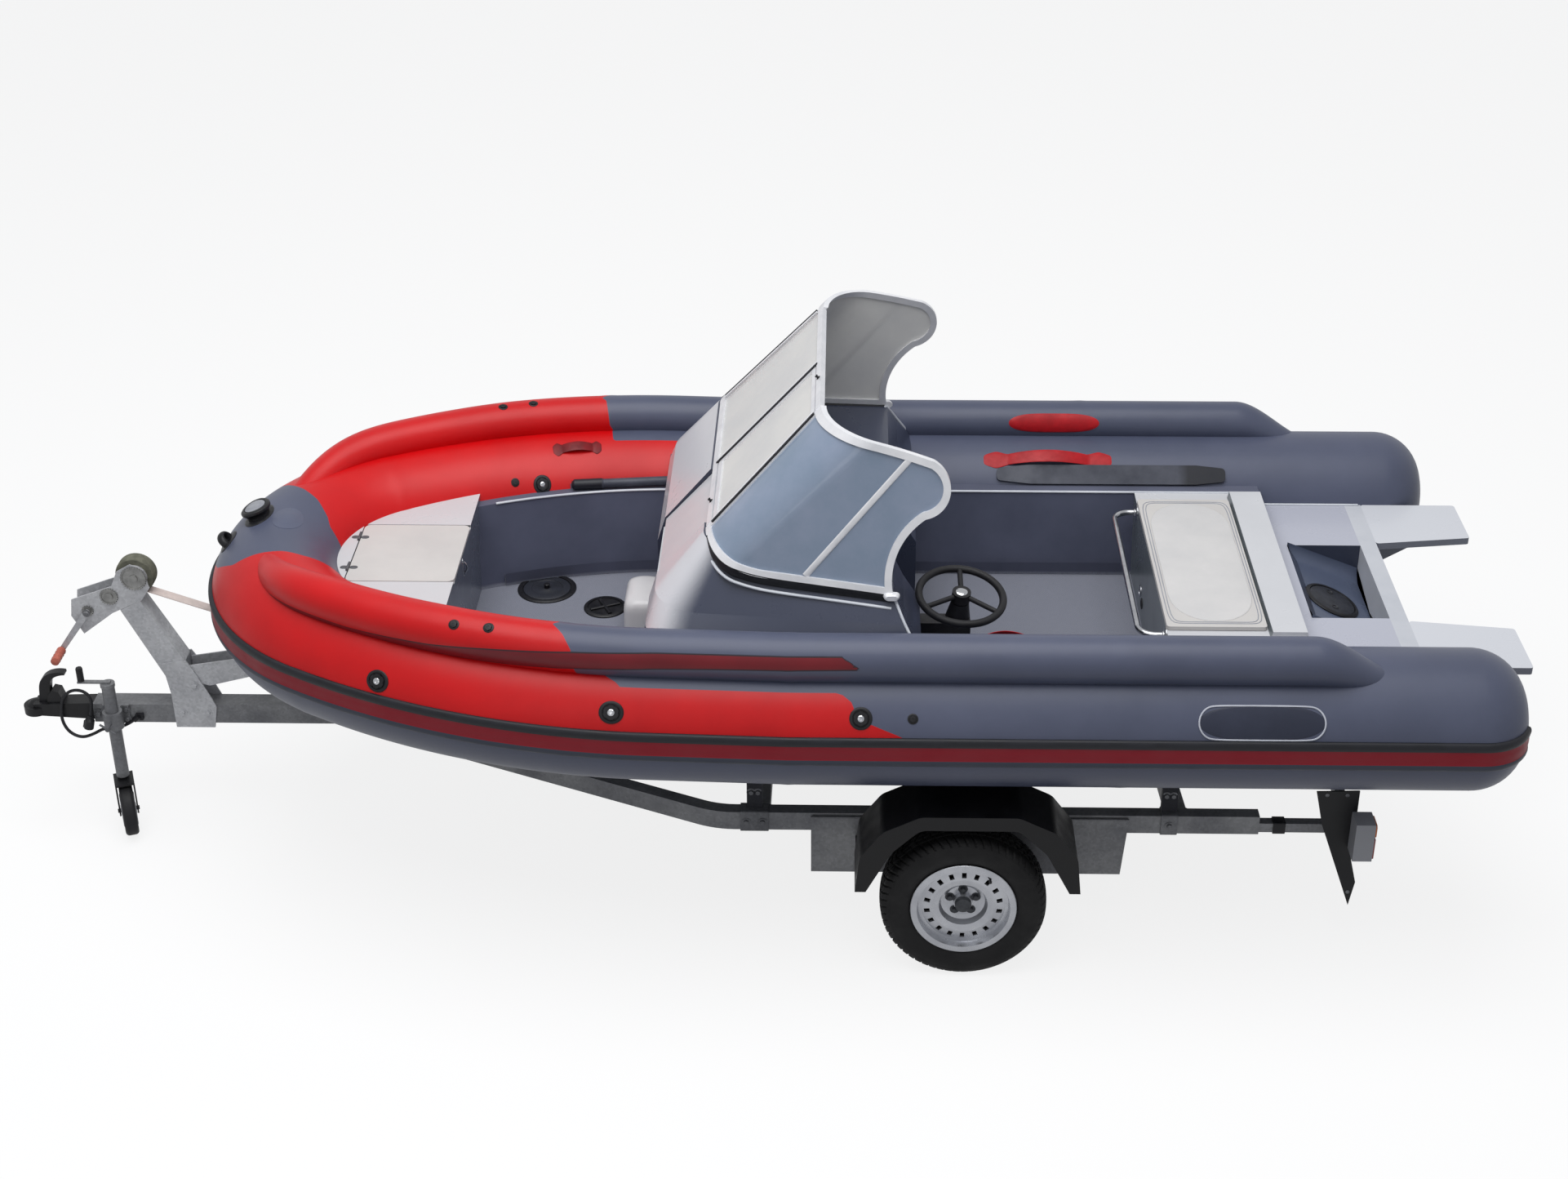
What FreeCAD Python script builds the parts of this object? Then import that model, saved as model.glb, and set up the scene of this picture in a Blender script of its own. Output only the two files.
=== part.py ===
"""Inflatable RIB boat standing on its road trailer. Millimetres.

+X points to the bow, +Y to port, +Z up.  The ground is z = 0.  Inside this file x = 0 is
at the trailer's axle; export() moves the whole model so that x = 0 is its middle.
"""
import FreeCAD
import Part
import os
from math import asin, atan2, cos, degrees, pi, radians, sin, sqrt, tan

Vec = FreeCAD.Vector
AX = Vec(1, 0, 0)
AY = Vec(0, 1, 0)
AZ = Vec(0, 0, 1)

# ---- inflatable collar --------------------------------------------------------------
TUBE_R = 237.0        # main tube radius
TUBE_Y = 829.0        # its centre line from the middle, along the straight sides
TUBE_Z = 995.0        # its centre line above the ground, along the straight sides
BOW_START = 1050.0    # where the sides begin to curve in
BOW_TIP = 2465.0      # centre line at the stem
BOW_R = 600.0         # plan radius round the nose
SHEER_X = 600.0       # mitred joint where the collar begins to rise
SHEER = 1.6           # degrees that the forward part rises
STERN_X = -1825.0     # aft end of the tubes
STERN_SHOULDER = 175.0   # rounding of the domed stern ends
MITRE_EXTRA = 30.0    # both chambers run this far past the mitre before they are cut
BULWARK_R = 81.0      # small tube on top of the main one
BULWARK_OUT = 77.0    # its centre, outboard of and above the main tube's centre
BULWARK_UP = 263.0
BULWARK_AFT = -1105.0
BULWARK_CONE = 320.0
STRAKE_LOW = -12.0    # rub strake, degrees round the tube from its outboard side
STRAKE_HIGH = 12.0
STRAKE_T = 12.0

# ---- hull and cockpit ----------------------------------------------------------------
KEEL_Z = 560.0
CHINE_Y = 690.0
CHINE_Z = 750.0
HULL_TOP = 780.0
HULL_INSET = 110.0    # hull top edge inside the tube's centre line
HULL_BOW = 2300.0     # stem
STEM_RISE = 170.0     # the keel rises this much at the stem
TRANSOM_X = -1560.0   # aft face of the transom
TRANSOM_T = 62.0
FLOOR_Z = 800.0
FLOOR_HALF = 500.0
LINER_TOP = 1120.0
LINER_HALF = 567.0    # cockpit half width at the liner's top
COCKPIT_AFT = -1165.0
STERN_DECK_Z = 1055.0
PLATE = 14.0          # moulding thickness

# ---- stowed oars, starboard ----------------------------------------------------------
OAR_GAP = 0.5         # clearance of a curved face that rests on another piece
OAR_R = 21.0
OAR_END = Vec(1462, -558, 1142)      # middle of the grip's end
OAR_CONSOLE = Vec(1093, -599, 1142)  # where the shaft goes out of sight at the console
BLADE_FRONT = -168.0
BLADE_AFT = -1042.0
BLADE_W = 76.0
BLADE_T = 12.0
BLADE_TILT = 49.0     # degrees that its flat face leans in over the tube

# ---- bow locker ----------------------------------------------------------------------
LOCKER_X = 1800.0
LOCKER_TOP = 1145.0
HATCH_FRONT = 2189.0
HATCH_HALF = 213.0
LID_T = 12.0
GAP = 4.0             # seam round lids and hatches

# ---- aft seat box --------------------------------------------------------------------
BOX_FRONT = -689.0
BOX_AFT = -1036.0
SEAT_LID_HALF = 478.0
SEAT_LID_TOP = 1136.0
SEAT_LID_T = 14.0
BEAM_TOP = 1146.0
BEAM_HALF = 528.0

# ---- stern ---------------------------------------------------------------------------
WELL_FRONT = -1226.0  # motor well: top of its sloping front face
WELL_SLOPE = 130.0    # how far that face runs aft on its way down
WELL_HALF = 270.0
WELL_FLOOR = 880.0
STEP_IN = 287.0       # swim platforms: inner and outer edge, and thickness
STEP_OUT = 600.0
STEP_T = 26.0

# ---- console and windshield ----------------------------------------------------------
RAKE = 47.3           # slope of the console front and of the windshield
SCREEN_X = 873.0      # foot of the windshield in the middle
SCREEN_Z = 1516.0
SCREEN_HALF = 497.0
SCREEN_TOP_HALF = 421.0
SCREEN_H = 560.0      # slant height of the front panes
CONSOLE_FRONT = 1085.0
CONSOLE_AFT = 160.0
DASH_AFT = 271.0
DASH_Z = 1400.0
WALK_STBD = 45.0      # walk-through between the consoles
WALK_PORT = 450.0
FRAME_W = 24.0        # windshield frame section
FRAME_T = 20.0
GLASS_T = 5.0
BREAK_X = 1055.0      # the console front turns upright here
CREASE_Z = 1225.0
BREAK_Z = SCREEN_Z - (BREAK_X - SCREEN_X) * tan(radians(RAKE))
LEAN = (SCREEN_HALF - SCREEN_TOP_HALF) / SCREEN_H
GATE_GAP = 6.0        # round the opening pane
WHEEL_POS = Vec(20.0, 500.0, 1262.0)
WHEEL_TILT = 5.0      # aft and to port, from level
WHEEL_LEAN = 11.0
STEER_R = 157.0
SHAFT_R = 12.0
PIN_GAP = 0.4         # running clearance of pins and shafts

# ---- trailer -------------------------------------------------------------------------
TYRE_R = 287.5
TYRE_W = 165.0
TYRE_Y = 886.0
RIM_R = 165.0         # bead seat
RIM_SLOTS = 18
RAIL_Y = 680.0
RAIL_W = 50.0
RAIL_LOW = 435.0
RAIL_HIGH = 507.0
RAIL_AFT = -1030.0
RAIL_BEND = 790.0
RAIL_BEND_R = 300.0
ARM_ANGLE = 24.4      # the front arms run in to the drawbar
BAR_W = 80.0
BAR_LOW = 432.0
BAR_HIGH = 510.0
BAR_AFT = 620.0
BAR_FRONT = 3235.0
WALL = 4.0            # tube wall of the frame
PLATE_T = 6.0         # steel plates
CROSS_W = 60.0        # cross members
CROSS_H = 64.0
CROSS_FRONT_X = 700.0
CROSS_AFT_X = -750.0
AXLE_Z = TYRE_R
BEAM_X = 150.0        # torsion beam
BEAM_Z = 330.0
STUB_R = 18.0
BUNK_Y = 640.0        # bunk board middle
BUNK_W = 70.0
BUNK_T = 45.0
ROLLER_R = 45.0
FENDER_X = -8.0
FENDER_TOP = 700.0
FENDER_END = 392.0
FENDER_HALF = 382.0
FENDER_SKIN = 5.0
FENDER_Y0 = 775.0
FENDER_Y1 = 1005.0
BALL_R = 25.4         # coupling: 50 mm ball with a little room
BALL_X = 3463.0
BALL_Z = 468.0
JOCKEY_X = 3147.0
JOCKEY_Y = 88.0
JOCKEY_R = 100.0
JOCKEY_W = 50.0
JOCKEY_TUBE_R = 24.0
JOCKEY_STEM_R = 20.0
JOCKEY_LOW = 226.0    # foot of the outer tube
CASTER = 50.0         # the wheel trails its stem
SWIVEL = 20.0         # how far the parked wheel is turned
WINCH_X = 3002.0      # strap drum
WINCH_Z = 1052.0
DRUM_R = 48.0
STRAP_W = 44.0
STRAP_T = 3.0
EYE_ANGLE = -37.0     # tow ring, degrees round the nose from level
EYE_R = 26.0
EYE_BAR = 5.0
PATCH_T = 8.0
EYE_OUT = Vec(cos(radians(EYE_ANGLE)), 0, sin(radians(EYE_ANGLE)))
LEAD_R = 6.0          # lamp lead to the towing car: radius of the cable
LEAD_START = Vec(3080, 56, 452)
LEAD_POINTS = [LEAD_START, Vec(3113, 56, 427), Vec(3156, 51, 415), Vec(3205, 51, 409), Vec(3246, 53, 384),
               Vec(3293, 52, 367), Vec(3337, 50, 389), Vec(3358, 47, 435), Vec(3355, 46, 487),
               Vec(3342, 46, 541), Vec(3306, 48, 575), Vec(3261, 54, 580), Vec(3228, 61, 555),
               Vec(3229, 67, 514), Vec(3238, 70, 478)]
PLUG_R = 18.0
PLUG_L = 54.0
NOSE_X = 3509.0       # coupling nose
STEP_X = -1916.0      # aft edge of the swim platforms
SHIFT = -(NOSE_X + STEP_X) / 2.0

SIDE_RUN = BOW_TIP - BOW_R - BOW_START
SIDE_R = (SIDE_RUN ** 2 + TUBE_Y ** 2 - BOW_R ** 2) / (2.0 * (TUBE_Y - BOW_R))
SIDE_ANGLE = degrees(atan2(SIDE_RUN, SIDE_R - TUBE_Y))
SIDE_CENTRE = Vec(BOW_START, TUBE_Y - SIDE_R, 0)
BOW_CENTRE = Vec(BOW_TIP - BOW_R, 0, 0)


# ---- small helpers -------------------------------------------------------------------
def export(node, shape):
    """Write one node, moved so that the model's middle is x = 0."""
    shape = shape.copy()
    shape.translate(Vec(SHIFT, 0, 0))
    shape.exportStep("parts/" + node + ".step")


def box(x0, x1, y0, y1, z0, z1):
    return Part.makeBox(x1 - x0, y1 - y0, z1 - z0, Vec(x0, y0, z0))


def rod(p, q, r):
    """Round bar from p to q."""
    return Part.makeCylinder(r, (q - p).Length, p, q - p)


def pipe(p, q, r, wall):
    return rod(p, q, r).cut(rod(p, q, r - wall))


def mirror(shape):
    return shape.mirror(Vec(0, 0, 0), AY)


def turned(shape, base, axis, angle):
    shape = shape.copy()
    shape.rotate(base, axis, angle)
    return shape


def polygon(points):
    return Part.makePolygon(points + [points[0]])


def prism_y(outline, y0, y1):
    """Side outline of (x, z) points carried across from y0 to y1."""
    face = Part.Face(polygon([Vec(x, y0, z) for x, z in outline]))
    return face.extrude(Vec(0, y1 - y0, 0))


def prism_z(outline, z0, z1):
    face = Part.Face(polygon([Vec(x, y, z0) for x, y in outline]))
    return face.extrude(Vec(0, 0, z1 - z0))


def prism_x(outline, x0, x1):
    face = Part.Face(polygon([Vec(x0, y, z) for y, z in outline]))
    return face.extrude(Vec(x1 - x0, 0, 0))


def smooth_edge(outline, y):
    """One smooth curve through a row of (x, z) points."""
    curve = Part.BSplineCurve()
    curve.interpolate([Vec(x, y, z) for x, z in outline])
    return curve.toShape()


def fuse(shapes):
    whole = shapes[0]
    if len(shapes) > 1:
        whole = whole.multiFuse(shapes[1:])
    return whole.removeSplitter()


def rounded(shape, radius, direction):
    """Round every straight edge of the shape that runs along the direction."""
    edges = []
    for edge in shape.Edges:
        if isinstance(edge.Curve, Part.Line):
            along = edge.tangentAt(edge.FirstParameter)
            if abs(along.dot(direction)) > 0.999:
                edges.append(edge)
    return shape.makeFillet(radius, edges)


def bent_path(points, bends):
    """Straight edges along the points; each inner corner is an arc of its own radius."""
    edges = []
    start = points[0]
    for index in range(1, len(points) - 1):
        corner = points[index]
        back = (points[index - 1] - corner).normalize()
        ahead = (points[index + 1] - corner).normalize()
        half = back.getAngle(ahead) / 2
        bend = bends[index - 1]
        enter = corner + back * (bend / tan(half))
        leave = corner + ahead * (bend / tan(half))
        centre = corner + (back + ahead).normalize() * (bend / sin(half))
        middle = centre + (corner - centre).normalize() * bend
        edges += [Part.makeLine(start, enter), Part.Arc(enter, middle, leave).toShape()]
        start = leave
    edges.append(Part.makeLine(start, points[-1]))
    return Part.Wire(edges)


def bent_rod(points, radius, bends):
    """Round bar along the points, with one bend radius for each inner corner."""
    section = Part.Wire(Part.makeCircle(radius, points[0], points[1] - points[0]))
    return bent_path(points, bends).makePipeShell([section], True, True)


def easy_bends(points):
    """The bend radius at each inner corner of a limp cord's route."""
    bends = []
    for index in range(1, len(points) - 1):
        back = points[index] - points[index - 1]
        ahead = points[index + 1] - points[index]
        bends.append(0.45 * min(back.Length, ahead.Length) / tan(back.getAngle(ahead) / 2))
    return bends


# ---- the collar's plan curve ---------------------------------------------------------
def at_station(shape, angle):
    """Carry a section drawn at BOW_START round the bow; 90 degrees is the stem."""
    first = min(angle, SIDE_ANGLE)
    shape = turned(shape, SIDE_CENTRE, AZ, -first)
    return turned(shape, BOW_CENTRE, AZ, first - angle)


def bow_sweep(face, last=90.0):
    """A section face at BOW_START swept round the side arc and the nose arc."""
    first = min(last, SIDE_ANGLE)
    pieces = [face.revolve(SIDE_CENTRE, AZ, -first)]
    if last > SIDE_ANGLE:
        start = turned(face, SIDE_CENTRE, AZ, -SIDE_ANGLE)
        pieces.append(start.revolve(BOW_CENTRE, AZ, SIDE_ANGLE - last))
    return pieces


def straight_sweep(face, x0):
    """The same section carried straight aft from BOW_START to x0."""
    return face.extrude(Vec(x0 - BOW_START, 0, 0))


def plan_wire(offset, z, x_aft):
    """Outline at height z that follows the collar, offset from its centre line."""
    half = TUBE_Y + offset
    side = SIDE_R + offset
    nose = BOW_R + offset
    join = Vec(BOW_START + side * sin(radians(SIDE_ANGLE)),
               SIDE_CENTRE.y + side * cos(radians(SIDE_ANGLE)), z)
    mid = Vec(BOW_START + side * sin(radians(SIDE_ANGLE / 2)),
              SIDE_CENTRE.y + side * cos(radians(SIDE_ANGLE / 2)), z)
    tip = Vec(BOW_CENTRE.x + nose, 0, z)

    def port(v):
        return Vec(v.x, -v.y, v.z)

    aft = Vec(x_aft, half, z)
    start = Vec(BOW_START, half, z)
    edges = [Part.makeLine(aft, start), Part.Arc(start, mid, join).toShape(),
             Part.Arc(join, tip, port(join)).toShape(),
             Part.Arc(port(join), port(mid), port(start)).toShape(),
             Part.makeLine(port(start), port(aft)), Part.makeLine(port(aft), aft)]
    return Part.Wire(edges)


def sheered(shape):
    """Tip a forward piece up about the mitred joint."""
    return turned(shape, Vec(SHEER_X, 0, TUBE_Z), AY, -SHEER)


def mitre_half(forward):
    """Everything forward of, or aft of, the mitre plane."""
    block = box(SHEER_X, SHEER_X + 4000, -2000, 2000, -1000, 3000)
    if not forward:
        block = box(SHEER_X - 4000, SHEER_X, -2000, 2000, -1000, 3000)
    return turned(block, Vec(SHEER_X, 0, TUBE_Z), AY, -SHEER / 2)


def disc(out, up, radius):
    """Round section at BOW_START, placed from the main tube's centre."""
    centre = Vec(BOW_START, TUBE_Y + out, TUBE_Z + up)
    return Part.Face(Part.Wire(Part.makeCircle(radius, centre, AX)))


def collar_bow():
    """Forward chamber: both curved sides and the nose in one U."""
    section = disc(0, 0, TUBE_R)
    pieces = bow_sweep(section) + [straight_sweep(section, SHEER_X - MITRE_EXTRA)]
    pieces += [mirror(piece) for piece in pieces]
    return fuse(pieces)


def collar_side():
    """Port side chamber with its domed stern end."""
    ring = TUBE_R - STERN_SHOULDER
    corner = STERN_SHOULDER * sqrt(0.5)
    x_full = STERN_X + STERN_SHOULDER
    mid = Vec(x_full - corner, 0, ring + corner)
    end = SHEER_X + MITRE_EXTRA
    profile = Part.Wire([
        Part.makeLine(Vec(STERN_X, 0, 0), Vec(STERN_X, 0, ring)),
        Part.Arc(Vec(STERN_X, 0, ring), mid, Vec(x_full, 0, TUBE_R)).toShape(),
        Part.makeLine(Vec(x_full, 0, TUBE_R), Vec(end, 0, TUBE_R)),
        Part.makeLine(Vec(end, 0, TUBE_R), Vec(end, 0, 0)),
        Part.makeLine(Vec(end, 0, 0), Vec(STERN_X, 0, 0))])
    solid = Part.Face(profile).revolve(Vec(0, 0, 0), AX, 360)
    solid.translate(Vec(0, TUBE_Y, TUBE_Z))
    return solid


# station angle, out, up, radius of the bulwark tube where it sinks into the nose
BULWARK_TAPER = [(18.0, BULWARK_OUT, BULWARK_UP, BULWARK_R), (34.0, 72.0, 250.0, 78.0),
                 (50.0, 55.0, 222.0, 66.0), (66.0, 28.0, 172.0, 50.0)]
BULWARK_END = (40.0, 55.0, 158.0)    # radius, out, up of the small end of the aft cone


def bulwark_forward(main_bow):
    section = disc(BULWARK_OUT, BULWARK_UP, BULWARK_R)
    first = BULWARK_TAPER[0][0]
    rings = []
    for angle, out, up, radius in BULWARK_TAPER:
        rings.append(at_station(disc(out, up, radius).OuterWire, angle))
    taper = Part.makeLoft(rings, True, False)
    pieces = bow_sweep(section, first) + [straight_sweep(section, SHEER_X - MITRE_EXTRA), taper]
    return fuse(pieces).cut(main_bow)


def bulwark_aft(main_side):
    radius, out, up = BULWARK_END
    x_end = BULWARK_AFT - BULWARK_CONE
    big = Part.Wire(Part.makeCircle(BULWARK_R, Vec(BULWARK_AFT, TUBE_Y + BULWARK_OUT,
                                                   TUBE_Z + BULWARK_UP), AX))
    small = Part.Wire(Part.makeCircle(radius, Vec(x_end, TUBE_Y + out, TUBE_Z + up), AX))
    cone = Part.makeLoft([big, small], True, True)
    run = Part.Face(big).extrude(Vec(SHEER_X + MITRE_EXTRA - BULWARK_AFT, 0, 0))
    return fuse([cone, run]).cut(main_side)


def strake_section():
    """Flat band on the tube's outboard side, at BOW_START."""
    def at(radius, angle):
        return Vec(BOW_START, TUBE_Y + radius * cos(radians(angle)),
                   TUBE_Z + radius * sin(radians(angle)))
    mid = (STRAKE_LOW + STRAKE_HIGH) / 2
    outer = TUBE_R + STRAKE_T
    bevel = 2.0
    edges = [Part.Arc(at(TUBE_R, STRAKE_LOW), at(TUBE_R, mid), at(TUBE_R, STRAKE_HIGH)).toShape(),
             Part.makeLine(at(TUBE_R, STRAKE_HIGH), at(outer, STRAKE_HIGH - bevel)),
             Part.Arc(at(outer, STRAKE_HIGH - bevel), at(outer, mid),
                      at(outer, STRAKE_LOW + bevel)).toShape(),
             Part.makeLine(at(outer, STRAKE_LOW + bevel), at(TUBE_R, STRAKE_LOW))]
    return Part.Face(Part.Wire(edges))


def rub_strake(main_bow, main_side, front, aft):
    """One band round the bow, both sides and both stern ends."""
    section = strake_section()
    wrap = 70.0
    forward = fuse(bow_sweep(section) + [straight_sweep(section, SHEER_X - MITRE_EXTRA)])
    forward = fuse([forward, mirror(forward)]).cut(main_bow)
    forward = sheered(forward).common(front)
    x_full = STERN_X + STERN_SHOULDER
    start = section.copy()
    start.translate(Vec(x_full - BOW_START, 0, 0))
    pivot = Vec(x_full, TUBE_Y + TUBE_R - STERN_SHOULDER, 0)
    side = fuse([start.extrude(Vec(SHEER_X + MITRE_EXTRA - x_full, 0, 0)),
                 start.revolve(pivot, AZ, wrap)])
    side = side.cut(main_side).common(aft)
    return fuse([forward, side, mirror(side)])


# ---- hull and cockpit ----------------------------------------------------------------
def hull():
    """V bottom: constant from the transom to BOW_START, then rising to the stem."""
    def section(x, keel, chine_y, chine_z):
        top = chine_y + 25
        points = [(0, keel), (chine_y, chine_z), (top, HULL_TOP), (-top, HULL_TOP), (-chine_y, chine_z)]
        return polygon([Vec(x, y, z) for y, z in points])
    x_aft = TRANSOM_X + TRANSOM_T
    aft = Part.Face(section(x_aft, KEEL_Z, CHINE_Y, CHINE_Z)).extrude(Vec(BOW_START - x_aft, 0, 0))
    # x, keel height, chine half width, chine height
    table = [(BOW_START, KEEL_Z, CHINE_Y, CHINE_Z), (1550.0, KEEL_Z + 22, 610.0, 757.0),
             (2000.0, KEEL_Z + 85, 440.0, 766.0), (HULL_BOW, KEEL_Z + STEM_RISE, 215.0, 774.0)]
    bow = Part.makeLoft([section(*row) for row in table], True, True)
    return fuse([aft, bow])


def cockpit_void(x_aft):
    """The space inside the liner, from the floor to its top."""
    low = plan_wire(FLOOR_HALF - TUBE_Y, FLOOR_Z, x_aft)
    high = plan_wire(LINER_HALF - TUBE_Y, LINER_TOP, x_aft)
    return Part.makeLoft([low, high], True, True)


def deck_liner(tubes):
    outer = Part.Face(plan_wire(-HULL_INSET, HULL_TOP, COCKPIT_AFT))
    block = outer.extrude(Vec(0, 0, LINER_TOP - HULL_TOP))
    return block.cut(cockpit_void(COCKPIT_AFT - 1)).cut(tubes)


def bow_locker(tubes):
    """Deck plate with its hatch opening, and the bulkhead below its aft edge."""
    outer = Part.Face(plan_wire(-150.0, LINER_TOP, LOCKER_X - 900)).extrude(Vec(0, 0, LOCKER_TOP - LINER_TOP))
    plate = outer.common(box(LOCKER_X, 3000, -900, 900, 0, 2000)).cut(tubes)
    rebate = box(LOCKER_X - 1, HATCH_FRONT + GAP, -HATCH_HALF - GAP, HATCH_HALF + GAP,
                 LOCKER_TOP - LID_T, LOCKER_TOP + 1)
    rim = 30.0
    hole = box(LOCKER_X + rim, HATCH_FRONT - rim, -HATCH_HALF + rim, HATCH_HALF - rim,
               LINER_TOP - 1, LOCKER_TOP)
    bulkhead = cockpit_void(0).common(box(LOCKER_X, LOCKER_X + PLATE, -700, 700, FLOOR_Z, LINER_TOP))
    return fuse([plate.cut(rebate).cut(hole), bulkhead])


def bow_hatch_lid():
    lid = box(LOCKER_X, HATCH_FRONT, -HATCH_HALF, HATCH_HALF, LOCKER_TOP - LID_T, LOCKER_TOP)
    return rounded(lid, 25, AZ)


def seat_box():
    """Aft locker across the cockpit, open under its lid, with the raised beam behind it."""
    outer = cockpit_void(COCKPIT_AFT).common(box(COCKPIT_AFT, BOX_FRONT, -700, 700, FLOOR_Z, LINER_TOP))
    inner = box(BOX_AFT + PLATE, BOX_FRONT - PLATE, -SEAT_LID_HALF + PLATE, SEAT_LID_HALF - PLATE,
                FLOOR_Z - 1, LINER_TOP + 1)
    beam = prism_y([(COCKPIT_AFT, LINER_TOP), (COCKPIT_AFT + 6, BEAM_TOP), (BOX_AFT - 6, BEAM_TOP),
                    (BOX_AFT, LINER_TOP)], -BEAM_HALF, BEAM_HALF)
    return fuse([outer.cut(inner), beam])


def seat_lid():
    lid = box(BOX_AFT + GAP, BOX_FRONT, -SEAT_LID_HALF, SEAT_LID_HALF,
              SEAT_LID_TOP - SEAT_LID_T, SEAT_LID_TOP)
    return rounded(lid, 12, AZ)


def grab_rail():
    """Bright hoop across the front of the seat box."""
    z = LINER_TOP - 30
    half = SEAT_LID_HALF - 20
    front = BOX_FRONT + 90
    points = [Vec(BOX_FRONT, -half, z), Vec(front, -half, z), Vec(front, half, z), Vec(BOX_FRONT, half, z)]
    return bent_rod(points, 11, [60, 60])


def stern_deck(tubes):
    """Moulding round the motor well; the well's front face slopes."""
    x_aft = TRANSOM_X + TRANSOM_T
    block = box(x_aft, COCKPIT_AFT, -(TUBE_Y - HULL_INSET), TUBE_Y - HULL_INSET, HULL_TOP, STERN_DECK_Z)
    outline = [(WELL_FRONT, STERN_DECK_Z + 1), (WELL_FRONT - WELL_SLOPE, WELL_FLOOR),
               (x_aft - 1, WELL_FLOOR), (x_aft - 1, STERN_DECK_Z + 1)]
    well = prism_y(outline, -WELL_HALF, WELL_HALF)
    return block.cut(well).cut(tubes)


def transom(tubes):
    """Flat board across the stern, cut round the tubes."""
    top = TUBE_Y - HULL_INSET
    outline = [(0, KEEL_Z), (CHINE_Y, CHINE_Z), (top, HULL_TOP), (top, STERN_DECK_Z),
               (-top, STERN_DECK_Z), (-top, HULL_TOP), (-CHINE_Y, CHINE_Z)]
    return prism_x(outline, TRANSOM_X, TRANSOM_X + TRANSOM_T).cut(tubes)


def swim_platform():
    """Port step behind the transom with the tapered bracket under it."""
    low = STERN_DECK_Z - STEP_T
    top = prism_z([(TRANSOM_X, STEP_IN), (STEP_X, STEP_IN + 49), (STEP_X, STEP_OUT), (TRANSOM_X, STEP_OUT)],
                  low, STERN_DECK_Z)
    middle = (STEP_IN + STEP_OUT) / 2
    rib = prism_y([(TRANSOM_X, low), (TRANSOM_X, low - 160), (STEP_X + 90, low)], middle - 15, middle + 15)
    return fuse([rounded(top, 12, AZ), rib])


def oars():
    """Two stowed oars beside the starboard tube: a grip end forward, a blade end aft."""
    grip = OAR_END
    shaft_end = OAR_CONSOLE
    aim = (shaft_end - grip).normalize()
    length = (shaft_end - grip).Length
    profile = [(0, 0), (12, 2), (OAR_R, 12), (OAR_R, 118), (OAR_R - 3, 124), (OAR_R - 3, length), (0, length)]
    across = aim.cross(AZ).normalize()
    face = Part.Face(polygon([grip + across * r + aim * along for r, along in profile]))
    shaft = face.revolve(grip, aim, 360)
    half = BLADE_W / 2
    edge = [(BLADE_FRONT, half - 14), (BLADE_FRONT - 130, half), (BLADE_AFT + 110, half),
            (BLADE_AFT, half - 12)]
    outline = edge + [(x, -across_edge) for x, across_edge in reversed(edge)]
    blade = rounded(prism_z(outline, TUBE_R + OAR_GAP, TUBE_R + OAR_GAP + BLADE_T), 16, AZ)
    blade = turned(blade, Vec(0, 0, 0), AX, -BLADE_TILT)
    return Part.makeCompound([shaft, blade.translated(Vec(0, -TUBE_Y, TUBE_Z))])


# ---- console -------------------------------------------------------------------------
def console_level(z, front, corner_y, radius, turn, aft):
    """Level outline: straight front, round corners, sides that spread aft."""
    centre = Vec(front - radius, corner_y, z)
    half = radians(turn / 2)
    whole = radians(turn)
    start = centre + Vec(radius, 0, 0)
    middle = centre + Vec(radius * cos(half), radius * sin(half), 0)
    end = centre + Vec(radius * cos(whole), radius * sin(whole), 0)
    rear = Vec(aft, end.y + (end.x - aft) / tan(whole), z)

    def port(v):
        return Vec(v.x, -v.y, v.z)
    edges = [Part.makeLine(port(start), start), Part.Arc(start, middle, end).toShape(),
             Part.makeLine(end, rear), Part.makeLine(rear, port(rear)), Part.makeLine(port(rear), port(end)),
             Part.Arc(port(end), port(middle), port(start)).toShape()]
    return Part.Wire(edges)


def console_block():
    """Whole console across the boat before it is divided."""
    # height, front, half width where the corner starts, corner radius, turn, aft
    rows = [(CREASE_Z, CONSOLE_FRONT, 620.0, 190.0, 87.0, CONSOLE_AFT),
            (BREAK_Z, BREAK_X, 545.0, 185.0, 84.3, CONSOLE_AFT + 58),
            (SCREEN_Z, SCREEN_X + 12, 505.0, 100.0, 86.0, CONSOLE_AFT + 150)]
    wires = [console_level(*row) for row in rows]
    upper = Part.makeLoft(wires[:2], True, True).fuse(Part.makeLoft(wires[1:], True, True))
    dash = prism_y([(0, 1600), (SCREEN_X + 60, 1600), (SCREEN_X + 60, SCREEN_Z + 1), (SCREEN_X, SCREEN_Z - 6),
                    (690, 1434), (DASH_AFT, DASH_Z), (0, DASH_Z - 26)], -900, 900)
    upper = upper.cut(dash)
    lower = cockpit_void(CONSOLE_AFT).common(box(CONSOLE_AFT, CONSOLE_FRONT, -900, 900, FLOOR_Z, LINER_TOP))
    middle = box(CONSOLE_AFT, CONSOLE_FRONT, -660, 660, LINER_TOP, CREASE_Z)
    return fuse([upper, lower, middle])


def consoles(tubes):
    """Starboard and port consoles either side of the walk-through."""
    block = console_block().cut(tubes)
    starboard = block.common(box(0, 1200, -900, WALK_STBD, 700, 1600))
    footwell = box(CONSOLE_AFT - 1, 860, -480, WALK_STBD - PLATE, FLOOR_Z + PLATE, 1200)
    starboard = starboard.cut(footwell)
    port = block.common(box(0, 1200, WALK_PORT, 900, 700, 1600))
    return starboard, port


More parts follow.
